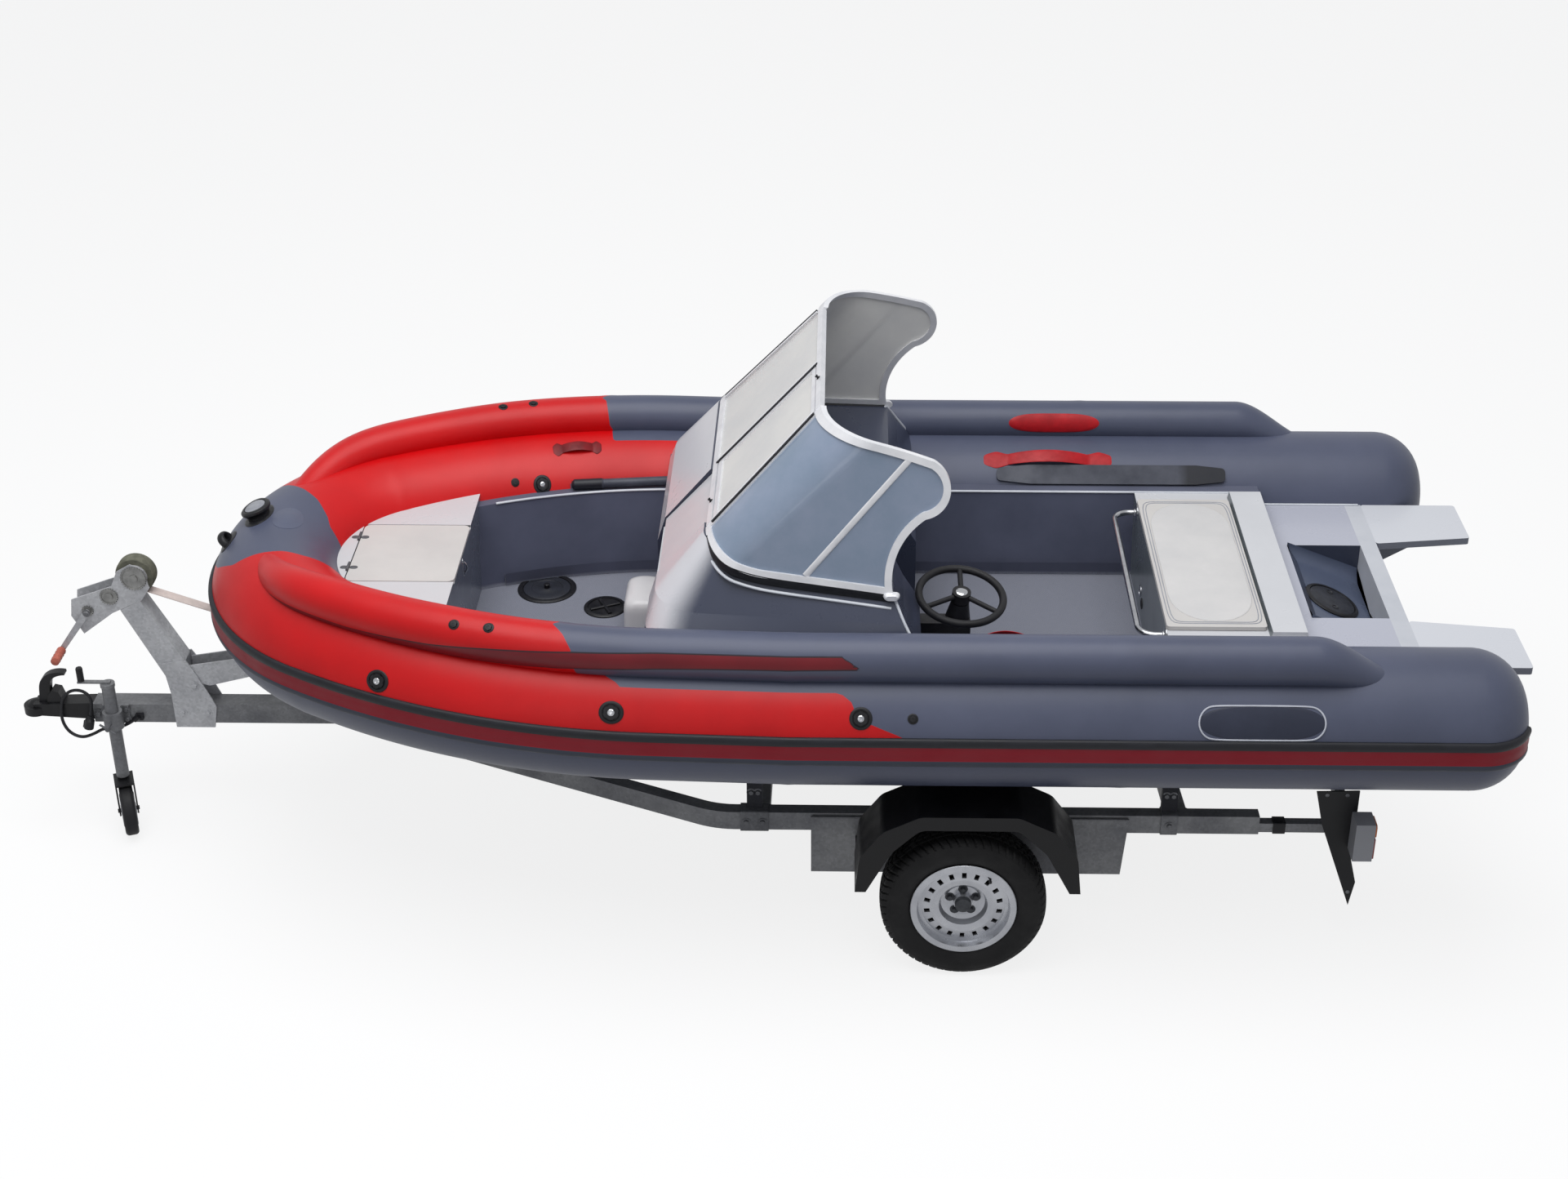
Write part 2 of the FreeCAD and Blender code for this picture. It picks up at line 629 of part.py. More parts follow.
SLOPE = Vec(-cos(radians(RAKE)), 0, sin(radians(RAKE)))
NORMAL = Vec(sin(radians(RAKE)), 0, cos(radians(RAKE)))
FOOT = Vec(SCREEN_X, 0, SCREEN_Z)


def in_screen(points, low, high):
    """Solid on the windshield plane from (across, up the slope) points."""
    corners = [FOOT + AY * across + SLOPE * up + NORMAL * low for across, up in points]
    return Part.Face(polygon(corners)).extrude(NORMAL * (high - low))


def trapezoid(y0, y1, s0, s1, edge0=0.0, edge1=0.0):
    """Corners between heights s0 and s1; the edges lean in by edge0 and edge1 per unit height."""
    return [(y0 - edge0 * s0, s0), (y1 - edge1 * s0, s0), (y1 - edge1 * s1, s1), (y0 - edge0 * s1, s1)]


def walk_lid():
    """Sloping lid over the walk-through, in line with the console fronts."""
    low = -(BREAK_X - SCREEN_X) / cos(radians(RAKE))
    points = trapezoid(WALK_STBD + GAP, WALK_PORT - GAP, low, -16.0)
    return in_screen(points, -20.0, -6.0)


def walk_door():
    """Door under the lid, hinged on the starboard console."""
    door = box(CONSOLE_FRONT - 45, CONSOLE_FRONT - 25, WALK_STBD + 6, WALK_PORT - 6, FLOOR_Z + 10, 1285.0)
    return rounded(door, 6, AZ)


def front_frame(sides):
    """Bottom, centre and top rails of the front screen, less the gate's opening."""
    outer = in_screen(trapezoid(-SCREEN_HALF, SCREEN_HALF, 0, SCREEN_H, -LEAN, LEAN),
                      -FRAME_T / 2, FRAME_T / 2)
    fixed = in_screen(trapezoid(-SCREEN_HALF - 30, WALK_STBD - FRAME_W, FRAME_W, SCREEN_H - FRAME_W, -LEAN, 0),
                      -FRAME_T, FRAME_T)
    gate = in_screen(trapezoid(WALK_STBD, SCREEN_HALF + 30, FRAME_W, SCREEN_H - FRAME_W, 0, LEAN),
                     -FRAME_T, FRAME_T)
    return outer.cut(fixed).cut(gate).cut(sides)


def screen_band(z, corner_y, radius, turn, out, inn, skip):
    """Closed level outline of the side screen: round corner from the front plane, then straight aft.

    skip leaves that length of the corner out, for the glass beside the post.
    """
    front = SCREEN_X - (z - SCREEN_Z) / tan(radians(RAKE))
    centre = Vec(front - radius, corner_y, z)
    length = front + 60.0

    def at(r, angle, along=0.0):
        ray = Vec(cos(angle), sin(angle), 0)
        return centre + ray * r + Vec(-sin(angle), cos(angle), 0) * along
    first = skip / radius
    last = radians(turn)
    mid = (first + last) / 2
    big = radius + out
    small = radius - inn
    return Part.Wire([
        Part.Arc(at(big, first), at(big, mid), at(big, last)).toShape(),
        Part.makeLine(at(big, last), at(big, last, length)),
        Part.makeLine(at(big, last, length), at(small, last, length)),
        Part.makeLine(at(small, last, length), at(small, last)),
        Part.Arc(at(small, last), at(small, mid), at(small, first)).toShape(),
        Part.makeLine(at(small, first), at(big, first))])


def side_slab(out, inn, skip):
    """Curved slab of the port side screen, ruled between two level outlines."""
    # height, half width where the corner starts, corner radius, turn
    rows = [(1380.0, 522.0, 163.0, 84.0), (1960.0, 415.3, 222.0, 84.5)]
    wires = [screen_band(z, corner_y, radius, turn, out, inn, skip) for z, corner_y, radius, turn in rows]
    return Part.makeLoft(wires, True, True)


def side_outline():
    """Side view of the side screen: foot, S-shaped aft edge, top edge; it runs past the front post."""
    def at(x, z):
        return Vec(x, 0, z)
    foot = at(930, 1560)
    bend = at(690, 1438)
    aft = at(257, 1402)
    waist = at(155, 1664)
    crown = at(132, 1855)
    top = at(540, 1938)
    edges = [Part.Arc(foot, at(815, 1476), bend).toShape(), Part.makeLine(bend, aft),
             Part.Arc(aft, at(243, 1550), waist).toShape(),
             Part.Arc(waist, at(77, 1775), crown).toShape(), Part.Arc(crown, at(300, 1900), top).toShape(),
             Part.makeLine(top, foot)]
    return Part.Wire(edges)


def side_screen():
    """Port frame ring and its glass."""
    outline = side_outline()
    inner = outline.makeOffset2D(-FRAME_W)
    reach = Vec(0, 700, 0)
    start = Vec(0, 250, 0)
    outer_prism = Part.Face(outline).translated(start).extrude(reach)
    inner_prism = Part.Face(inner).translated(start).extrude(reach)
    window = side_slab(FRAME_T, FRAME_T, FRAME_W).common(inner_prism)
    frame = side_slab(FRAME_T / 2, FRAME_T / 2, 0.0).common(outer_prism).cut(window)
    glass = side_slab(GLASS_T / 2, GLASS_T / 2, FRAME_W).common(inner_prism)
    return frame, glass


def gate_frame():
    """Opening pane of the front screen: frame and glass."""
    bar = 18.0
    outside = FRAME_W + GATE_GAP
    inside = outside + bar
    y0 = WALK_STBD + GATE_GAP
    y1 = SCREEN_HALF - GATE_GAP
    outer = in_screen(trapezoid(y0, y1, outside, SCREEN_H - outside, 0, LEAN), -8, 8)
    hole = trapezoid(y0 + bar, y1 - bar, inside, SCREEN_H - inside, 0, LEAN)
    return outer.cut(in_screen(hole, -20, 20)), in_screen(hole, -GLASS_T / 2, GLASS_T / 2)


def front_glass():
    return in_screen(trapezoid(-SCREEN_HALF, WALK_STBD - FRAME_W, FRAME_W, SCREEN_H - FRAME_W, -LEAN, 0),
                     -GLASS_T / 2, GLASS_T / 2)


# ---- steering ------------------------------------------------------------------------
def steering_wheel():
    """Rim, three spokes and hub, drawn level about the origin."""
    grip = 13.0
    middle = STEER_R - grip
    rim = Part.makeTorus(middle, grip, Vec(0, 0, 0), AZ)
    hub = Part.makeCylinder(32, 36, Vec(0, 0, -16), AZ)
    pieces = [rim, hub]
    for angle in (30.0, 150.0, 270.0):
        end = Vec(cos(radians(angle)) * middle, sin(radians(angle)) * middle, 0)
        pieces.append(rod(Vec(0, 0, 8), end, 9))
    return fuse(pieces).cut(Part.makeCylinder(SHAFT_R + PIN_GAP, 30, Vec(0, 0, -20), AZ))


def steering_column():
    """Housing under the wheel with its shaft, in the wheel's own frame."""
    boss = Part.makeCone(46, 30, 90, Vec(0, 0, -112), AZ)
    shaft = Part.makeCylinder(SHAFT_R, 120, Vec(0, 0, -112), AZ)
    return fuse([boss, shaft])


def column_arm():
    """Arm from the console's aft face to the housing."""
    low = WHEEL_POS.z - 150
    return box(WHEEL_POS.x - 34, CONSOLE_AFT, WHEEL_POS.y - 34, WHEEL_POS.y + 34, low, low + 62)


def steering_placed(shape):
    shape = turned(shape, Vec(0, 0, 0), AY, -WHEEL_TILT)
    shape = turned(shape, Vec(0, 0, 0), AX, -WHEEL_LEAN)
    return shape.translated(WHEEL_POS)


# ---- small pieces of the boat --------------------------------------------------------
def console_seat():
    """Low moulded seat on the front of the starboard console."""
    block = box(CONSOLE_FRONT, CONSOLE_FRONT + 140, -215, 15, FLOOR_Z, FLOOR_Z + 150)
    return rounded(block, 30, AZ)


def nose_point(distance):
    """Point on the centre plane, that far out from the tube's middle along the eye's axis."""
    run = BOW_TIP - SHEER_X
    centre = Vec(SHEER_X + run * cos(radians(SHEER)), 0, TUBE_Z + run * sin(radians(SHEER)))
    return centre + EYE_OUT * distance


def eye_centre():
    return nose_point(TUBE_R + PATCH_T + EYE_R)


def tow_eye(tube):
    """Ring on a moulded patch, on the nose of the collar below the strake."""
    patch = Part.makeCylinder(58, 22 + PATCH_T, nose_point(TUBE_R - 22), EYE_OUT).cut(tube)
    lug = Part.makeCylinder(14, 16, nose_point(TUBE_R + PATCH_T - 4), EYE_OUT)
    return fuse([patch, lug, Part.makeTorus(EYE_R, EYE_BAR, eye_centre(), AY)])


# ---- wheels and axle -----------------------------------------------------------------
def ring_y(points):
    """Turned piece about the y axis from (y, radius) points."""
    face = Part.Face(polygon([Vec(0, y, z) for y, z in points]))
    return face.revolve(Vec(0, 0, 0), AY, 360)


def tyre():
    """Tyre about the y axis, centred on the wheel."""
    half = TYRE_W / 2
    bead = RIM_R + 17
    crown = TYRE_R - 3
    edges = [Part.makeLine(Vec(0, -58, RIM_R), Vec(0, 58, RIM_R))]
    for sign in (1, -1):
        edges.append(Part.makeLine(Vec(0, sign * 58, RIM_R), Vec(0, sign * 64, bead)))
        low = Vec(0, sign * 64, bead)
        side = Vec(0, sign * (half - 6), TYRE_R - 34)
        edge = Vec(0, sign * (half - 36), crown)
        edges.append(Part.Arc(low, Vec(0, sign * half, TYRE_R - 62), side).toShape())
        edges.append(Part.Arc(side, Vec(0, sign * (half - 17), TYRE_R - 13), edge).toShape())
    edges.append(Part.Arc(Vec(0, half - 36, crown), Vec(0, 0, TYRE_R), Vec(0, 36 - half, crown)).toShape())
    return Part.Face(Part.Wire(Part.__sortEdges__(edges))).revolve(Vec(0, 0, 0), AY, 360)


def rim():
    """Pressed steel rim about the y axis: flanged barrel, dished disc with hand holes, hub."""
    barrel = [(-66, RIM_R - 1), (-66, 181), (-70, 183), (-72, 181), (-72, 158), (-30, 148), (10, 148),
              (60, 158), (72, 160), (72, 181), (70, 183), (66, 181), (66, RIM_R - 1), (58, RIM_R), (-58, RIM_R)]
    dish = [(8, 60), (18, 60), (24, 76), (46, 84), (52, 108), (46, 144), (46, 157), (36, 157), (36, 146),
            (42, 108), (38, 92), (12, 84), (8, 76)]
    hub = [(-72, STUB_R + PIN_GAP), (36, STUB_R + PIN_GAP), (36, 32), (18, 34), (18, 64), (8, 64), (8, 50),
           (-40, 50), (-40, 38), (-72, 34)]
    body = fuse([ring_y(barrel), ring_y(dish), ring_y(hub)])
    slots = []
    for index in range(RIM_SLOTS):
        slot = box(-8, 8, 30, 60, 116, 136)
        slots.append(turned(slot, Vec(0, 0, 0), AY, index * 360.0 / RIM_SLOTS))
    return body.cut(Part.makeCompound(slots))


def axle():
    """Torsion beam with its side plates, trailing arms and stub shafts."""
    inner = RAIL_Y + RAIL_W / 2
    outer = inner + PLATE_T
    pieces = [box_tube(Vec(BEAM_X, -inner, BEAM_Z), Vec(BEAM_X, inner, BEAM_Z), 70, 70, 5)]
    fall = degrees(atan2(BEAM_Z - AXLE_Z, BEAM_X))
    for side in (1, -1):
        plate = prism_y([(-578, RAIL_HIGH - 14), (-560, 262), (526, 262), (526, RAIL_HIGH - 14)], inner, outer)
        arm = turned(box(0, BEAM_X, outer, outer + 22, AXLE_Z - 26, AXLE_Z + 26), Vec(0, 0, AXLE_Z), AY, -fall)
        parts = [plate, arm,
                 Part.makeCylinder(44, 22, Vec(BEAM_X, outer, BEAM_Z), AY),
                 Part.makeCylinder(34, 22, Vec(0, outer, AXLE_Z), AY),
                 Part.makeCylinder(STUB_R, TYRE_Y + 32 - outer, Vec(0, outer, AXLE_Z), AY)]
        for part in parts:
            pieces.append(part if side > 0 else mirror(part))
    return fuse(pieces)


def arch(side, foot, y0, y1, bend):
    """Prism of a flat-topped arch about the wheel; side is (half width, height) from the foot up."""
    outline = [(side[0][0], foot)] + side + [(-x, z) for x, z in reversed(side)] + [(-side[0][0], foot)]
    solid = prism_y([(FENDER_X + x, z) for x, z in outline], y0, y1)
    bends = []
    for edge in solid.Edges:
        middle = edge.CenterOfMass
        if abs(middle.y - (y0 + y1) / 2) < 1 and middle.z > side[0][1] + 20:
            bends.append(edge)
    return solid.makeFillet(bend, bends)


def fender_side(inset):
    """Outline points of the mudguard, drawn in by inset."""
    half = FENDER_HALF - inset
    return [(half, FENDER_END), (half * 0.96, FENDER_TOP - 165 - inset * 0.3),
            (half * 0.76, FENDER_TOP - 62 - inset * 0.8), (half * 0.43, FENDER_TOP - inset)]


def fender():
    """Port mudguard: flat-topped shell with a lip outboard that dies out at both ends, on two flat stays."""
    foot = FENDER_END - 60
    window = [(FENDER_HALF - 37, FENDER_END), (FENDER_HALF - 120, FENDER_TOP - 148),
              (FENDER_HALF - 217, FENDER_TOP - 53)]
    shell = arch(fender_side(0.0), FENDER_END - 10, FENDER_Y0, FENDER_Y1, 60)
    shell = shell.cut(arch(fender_side(FENDER_SKIN), foot, FENDER_Y0 - 1, FENDER_Y1 - FENDER_SKIN, 60))
    shell = shell.cut(arch(window, foot, FENDER_Y0 - 1, FENDER_Y1 + 1, 60))
    shell = shell.cut(box(FENDER_X - 600, FENDER_X + 600, 600, 1200, 0, FENDER_END))
    reach = arch(fender_side(1.0), foot, 500, 1200, 60)
    pieces = [shell]
    for side in (-1, 1):
        x = FENDER_X + side * (FENDER_HALF - 30)
        stay = box(x - 30, x + 30, RAIL_Y + RAIL_W / 2 + PLATE_T, FENDER_Y0 + 50,
                   FENDER_END + 20, FENDER_END + 26)
        pieces.append(stay.common(reach))
    return fuse(pieces)


# ---- frame ---------------------------------------------------------------------------
def box_tube(p, q, width, height, wall):
    """Square tube along a level line from p to q (its middle line)."""
    run = q - p
    length = run.Length
    outer = Part.makeBox(length, width, height, Vec(0, -width / 2, -height / 2))
    corner = Vec(0, -width / 2 + wall, -height / 2 + wall)
    inner = Part.makeBox(length, width - 2 * wall, height - 2 * wall, corner)
    tube = outer.cut(inner)
    tube.rotate(Vec(0, 0, 0), AZ, degrees(atan2(run.y, run.x)))
    tube.translate(p)
    return tube


def side_rail():
    """Port frame rail: straight alongside the wheel, then bent in to the drawbar."""
    middle = (RAIL_LOW + RAIL_HIGH) / 2
    section = []
    for inset in (0.0, WALL):
        w = RAIL_W / 2 - inset
        h = (RAIL_HIGH - RAIL_LOW) / 2 - inset
        corners = [Vec(RAIL_BEND, RAIL_Y + y, middle + z) for y, z in ((-w, -h), (w, -h), (w, h), (-w, h))]
        section.append(Part.Face(polygon(corners)))
    profile = section[0].cut(section[1])
    pivot = Vec(RAIL_BEND, RAIL_Y - RAIL_BEND_R, 0)
    straight = profile.extrude(Vec(RAIL_AFT - RAIL_BEND, 0, 0))
    bend = profile.revolve(pivot, AZ, -ARM_ANGLE)
    end = turned(profile, pivot, AZ, -ARM_ANGLE)
    direction = Vec(cos(radians(ARM_ANGLE)), -sin(radians(ARM_ANGLE)), 0)
    start_y = RAIL_Y - RAIL_BEND_R * (1 - cos(radians(ARM_ANGLE)))
    arm = end.extrude(direction * (start_y / sin(radians(ARM_ANGLE))))
    keep = box(RAIL_AFT, 3000, BAR_W / 2, 900, 0, 900)
    return fuse([straight, bend, arm]).common(keep)


def drawbar():
    middle = (BAR_LOW + BAR_HIGH) / 2
    return box_tube(Vec(BAR_AFT, 0, middle), Vec(BAR_FRONT, 0, middle), BAR_W, BAR_HIGH - BAR_LOW, WALL)


def cross_member(x):
    """Cross tube between the rails, dipped in the middle to pass under the drawbar."""
    reach = RAIL_Y - RAIL_W / 2
    low = BAR_LOW - CROSS_H
    outline = [(-reach, RAIL_HIGH), (-reach, RAIL_HIGH - CROSS_H), (-170, low), (170, low),
               (reach, RAIL_HIGH - CROSS_H), (reach, RAIL_HIGH), (180, BAR_LOW), (-180, BAR_LOW)]
    return prism_x(outline, x - CROSS_W / 2, x + CROSS_W / 2)


def bunk():
    """Port bunk board under the chine, on two posts that stand on the rail."""
    slope = (CHINE_Z - KEEL_Z) / CHINE_Y
    y0 = BUNK_Y - BUNK_W / 2
    y1 = BUNK_Y + BUNK_W / 2

    def under(y, drop):
        return KEEL_Z + slope * y - drop
    outline = [(y0, under(y0, 0)), (y1, under(y1, 0)), (y1, under(y1, BUNK_T)), (y0, under(y0, BUNK_T))]
    board = prism_x(outline, -1300, 1000)
    pieces = [board]
    inner = RAIL_Y - RAIL_W / 2
    for x in (723.0, -718.0):
        outline = [(inner, RAIL_HIGH), (y1 + 10, RAIL_HIGH), (y1, under(y1, BUNK_T)),
                   (inner, under(inner, BUNK_T))]
        post = prism_x(outline, x - 27, x + 27)
        pieces.append(post)
    return fuse(pieces)


def keel_roller():
    """Roller under the keel between two cheeks on the aft cross member."""
    z = KEEL_Z - ROLLER_R
    pieces = [Part.makeCylinder(ROLLER_R, 90, Vec(CROSS_AFT_X, -45, z), AY),
              Part.makeCylinder(8, 126, Vec(CROSS_AFT_X, -63, z), AY)]
    for y in (-56.0, 50.0):
        outline = [(CROSS_AFT_X - 28, BAR_LOW), (CROSS_AFT_X + 28, BAR_LOW), (CROSS_AFT_X + 16, z + 14),
                   (CROSS_AFT_X - 16, z + 14)]
        pieces.append(prism_y(outline, y, y + 6))
    return fuse(pieces)


def light_beam():
    """Lamp board across the stern on two tubes that slide out of the rails."""
    low = RAIL_LOW + WALL
    size = 36.0
    x_bar = -1330.0
    pieces = [box(x_bar - size, x_bar, -860, 860, low, low + size)]
    flap = [(-1195, 668), (-1227, 531), (-1352, 193), (-1367, 292), (-1342, 388), (-1341, 672)]
    for side in (1, -1):
        parts = [box(x_bar, RAIL_AFT + 160, RAIL_Y - size / 2, RAIL_Y + size / 2, low, low + size),
                 prism_y(flap, 778, 784),
                 box(x_bar - 60, x_bar + 6, 784, 866, low, 588)]
        for part in parts:
            pieces.append(part if side > 0 else mirror(part))
    return fuse(pieces)


# ---- winch post and bow roller -------------------------------------------------------
def winch_post():
    """Folded channel leaning forward, bolted between two plates on the drawbar."""
    half = BAR_W / 2
    outer = prism_y([(2926, BAR_HIGH), (2860, BAR_HIGH), (2860, 700), (2991, 957), (3070, 918), (2926, 604)],
                    -half, half)
    hollow = [(2970, BAR_HIGH - 1), (2868, BAR_HIGH - 1), (2868, 702), (3000, 970), (3120, 915), (2970, 590)]
    inner = prism_y(hollow, -half + PLATE_T, half - PLATE_T)
    plate = [(2926, 415), (2780, 415), (2764, 505), (2832, 664), (2856, 704), (2946, 692), (2928, 560)]
    port = prism_y(plate, half, half + PLATE_T)
    return fuse([outer.cut(inner), port, mirror(port)])


def winch():
    """Winch frame with its wound drum; the frame's base sits on the post's top."""
    half = BAR_W / 2
    side = [(2985, 960), (2950, 1010), (2962, 1085), (3010, 1108), (3062, 1078), (3090, 1016), (3245, 960),
            (3255, 892), (3218, 817), (3100, 905)]
    base = [(2985, 960), (3100, 905), (3218, 817), (3222, 825), (3104, 912), (2989, 967)]
    pieces = [prism_y(base, -half, half)]
    for y in (-half, half - 5):
        pieces.append(prism_y(side, y, y + 5))
    pieces.append(Part.makeCylinder(DRUM_R, 2 * half, Vec(WINCH_X, -half, WINCH_Z), AY))
    return fuse(pieces)


def winch_crank():
    """Crank on the port side of the winch: shaft, flat arm and grip."""
    y0 = BAR_W / 2
    shaft = Part.makeCylinder(9, 24, Vec(3190, y0, 915), AY)
    arm = prism_y([(3200, 924), (3182, 906), (3300, 748), (3318, 758)], y0 + 14, y0 + 20)
    grip = Part.makeCylinder(14, 84, Vec(3306, y0 + 20, 757), AY)
    return fuse([shaft, arm, grip])


def winch_strap():
    """Tight strap from under the drum to the ring on the bow."""
    ring = eye_centre()
    run = Vec(WINCH_X, 0, WINCH_Z) - ring
    angle = atan2(run.z, run.x) - asin(DRUM_R / run.Length)
    along = Vec(cos(angle), 0, sin(angle))
    below = Vec(sin(angle), 0, -cos(angle)) * STRAP_T
    start = ring + along * EYE_R
    end = ring + along * sqrt(run.Length ** 2 - DRUM_R ** 2)
    corners = [start, end, end + below, start + below]
    strap = prism_y([(p.x, p.z) for p in corners], -STRAP_W / 2, STRAP_W / 2)
    return strap.cut(Part.makeTorus(EYE_R, EYE_BAR, ring, AY))


def bow_roller():
    """Two cheeks reaching aft from the post to the roller under the stem."""
    half = BAR_W / 2
    z = HULL_TOP - ROLLER_R - 4
    x = HULL_BOW + ROLLER_R
    arm = [(2856, 680), (2856, 618), (2779, 596), (x + 4, z - 24), (x - 22, z - 12), (x - 14, z + 22),
           (2669, 711)]
    roller = Part.makeCylinder(ROLLER_R, 60, Vec(x, -30, z), AY)
    pin = Part.makeCylinder(8, 2 * half, Vec(x, -half, z), AY)
    pieces = [roller, pin]
    for y in (-half, half - PLATE_T):
        pieces.append(prism_y(arm, y, y + PLATE_T))
    return fuse(pieces)


# ---- coupling and jockey wheel -------------------------------------------------------
def coupling():
    """Ball coupling bolted into the drawbar's end, with its hand lever."""
    half = BAR_W / 2 - WALL
    root = box(BAR_FRONT - 60, BAR_FRONT, -half, half, BAR_LOW + WALL, BAR_HIGH - WALL)
    outline = [(BAR_FRONT, BAR_LOW + 8), (BAR_FRONT, BAR_HIGH), (3346, BAR_HIGH - 4),
               (BALL_X, BALL_Z + 34), (BALL_X, BALL_Z - 14)]
    neck = prism_y(outline, -34, 34)
    head = Part.makeCylinder(NOSE_X - BALL_X, 32, Vec(BALL_X, 0, BALL_Z - 14), AZ)
    upper = box(3300, 3600, -60, 60, BALL_Z - 14, BALL_Z + 60)
    dome = Part.makeSphere(38, Vec(BALL_X, 0, BALL_Z)).common(upper)
    front = [(3446, 496), (3438, 540), (3424, 598), (3401, 620), (3370, 631), (3332, 630)]
    back = [(3331, 621), (3360, 616), (3382, 602), (3393, 572), (3397, 540), (3400, 496)]
    ends = [Vec(x, -17, z) for x, z in (front[-1], back[0], back[-1], front[0])]
    wire = Part.Wire([smooth_edge(front, -17), Part.makeLine(ends[0], ends[1]), smooth_edge(back, -17),
                      Part.makeLine(ends[2], ends[3])])
    lever = Part.Face(wire).extrude(Vec(0, 34, 0))
    hump = prism_y([(3412, 494), (3405, 534), (3388, 558), (3362, 552), (3346, 498)], -26, 26)
    socket = fuse([Part.makeSphere(BALL_R, Vec(BALL_X, 0, BALL_Z)),
                   Part.makeCylinder(BALL_R, 60, Vec(BALL_X, 0, BALL_Z - 60), AZ)])
    return fuse([root, neck, head, dome, lever, hump]).cut(socket)


# ---- lamp lead -----------------------------------------------------------------------
def lead():
    """Rubber cable: out of its clip, down in a loop, over the neck, down to the plug."""
    bends = easy_bends(LEAD_POINTS)
    cable = bent_rod(LEAD_POINTS, LEAD_R, bends)
    length = bent_path(LEAD_POINTS, bends).Length
    print("lead bends, mm:", [round(bend) for bend in bends], "length, mm:", round(length))
    print("lead volume against section times length:", round(cable.Volume / (pi * LEAD_R ** 2 * length), 4))
    return cable


def lead_clip():
    """Moulded clip screwed to the drawbar; the cable comes out of its front face."""
    aim = (LEAD_POINTS[1] - LEAD_START).normalize()
    block = rod(LEAD_START - aim * 26, LEAD_START, LEAD_R + 5)
    foot = box(LEAD_START.x - 34, LEAD_START.x - 6, BAR_W / 2, LEAD_START.y,
               LEAD_START.z - 2, LEAD_START.z + 22)
    return fuse([block, foot])


def lead_plug():
    """Seven-pin plug: thin tail on the cable, then the wider body with its key."""
    end = LEAD_POINTS[-1]
    aim = (end - LEAD_POINTS[-2]).normalize()
    across = aim.cross(AY).normalize()
    profile = [(0, 0), (9, 0), (11, 12), (PLUG_R, 20), (PLUG_R, PLUG_L), (0, PLUG_L)]
    face = Part.Face(polygon([end + across * r + aim * along for r, along in profile]))
    body = face.revolve(end, aim, 360)
    key = rod(end + aim * 26 + across * PLUG_R, end + aim * PLUG_L + across * PLUG_R, 4)
    return fuse([body, key])


def jockey_clamp():
    """Clamp bolted to the drawbar's port side, round the jockey tube."""
    z = BAR_LOW + 8
    plate = box(JOCKEY_X - 50, JOCKEY_X + 50, BAR_W / 2, BAR_W / 2 + 8, BAR_LOW, BAR_HIGH)
    ring = Part.makeCylinder(JOCKEY_TUBE_R + 12, 70, Vec(JOCKEY_X, JOCKEY_Y, z), AZ)
    web = box(JOCKEY_X - 22, JOCKEY_X + 22, BAR_W / 2 + 8, JOCKEY_Y, z, z + 70)
    bore = Part.makeCylinder(JOCKEY_TUBE_R + PIN_GAP, 100, Vec(JOCKEY_X, JOCKEY_Y, BAR_LOW), AZ)
    return fuse([plate, ring, web]).cut(bore)


def jockey_leg():
    """Outer tube with the screw's crank on top; it slides in the clamp."""
    outer = pipe(Vec(JOCKEY_X, JOCKEY_Y, JOCKEY_LOW), Vec(JOCKEY_X, JOCKEY_Y, 620), JOCKEY_TUBE_R, 3.2)
    cap = Part.makeCylinder(JOCKEY_TUBE_R + 3, 14, Vec(JOCKEY_X, JOCKEY_Y, 620), AZ)
    crank = box(JOCKEY_X - 12, JOCKEY_X + 110, JOCKEY_Y - 9, JOCKEY_Y + 9, 634, 641)
    knob = Part.makeCylinder(11, 56, Vec(JOCKEY_X + 97, JOCKEY_Y, 641), AZ)
    return fuse([outer, cap, crank, knob])


def swivelled(shape):
    return turned(shape, Vec(JOCKEY_X, JOCKEY_Y, 0), AZ, SWIVEL)


def jockey_fork():
    """Inner tube with the fork and the wheel's pin; it turns in the leg."""
    y = JOCKEY_Y + CASTER
    crown_z = JOCKEY_R * 2 + 10
    stem = Part.makeCylinder(JOCKEY_STEM_R, 380, Vec(JOCKEY_X, JOCKEY_Y, crown_z), AZ)
    reach = JOCKEY_W / 2 + 5
    crown = box(JOCKEY_X - reach - 6, JOCKEY_X + reach + 6, JOCKEY_Y - 30, y + 12, crown_z, crown_z + 8)
    outline = [(JOCKEY_Y - 24, crown_z), (y + 10, crown_z), (y + 18, JOCKEY_R - 14), (y - 18, JOCKEY_R - 14)]
    pieces = [stem, crown]
    for x in (JOCKEY_X - reach - 6, JOCKEY_X + reach):
        pieces.append(prism_x(outline, x, x + 6))
    pieces.append(Part.makeCylinder(8, 2 * reach + 20, Vec(JOCKEY_X - reach - 10, y, JOCKEY_R), AX))
    return swivelled(fuse(pieces))


def jockey_wheel():
    middle = Vec(JOCKEY_X - JOCKEY_W / 2, JOCKEY_Y + CASTER, JOCKEY_R)
    wheel = Part.makeCylinder(JOCKEY_R, JOCKEY_W, middle, AX)
    edges = [edge for edge in wheel.Edges if isinstance(edge.Curve, Part.Circle)]
    bore = Part.makeCylinder(8 + PIN_GAP, 200, Vec(JOCKEY_X - 100, JOCKEY_Y + CASTER, JOCKEY_R), AX)
    return swivelled(wheel.makeFillet(14, edges).cut(bore))


# ---- the whole model -----------------------------------------------------------------
def export_pair(name, port):
    """A port piece and its mirror image."""
    export(name + "_port", port)
    export(name + "_starboard", mirror(port))


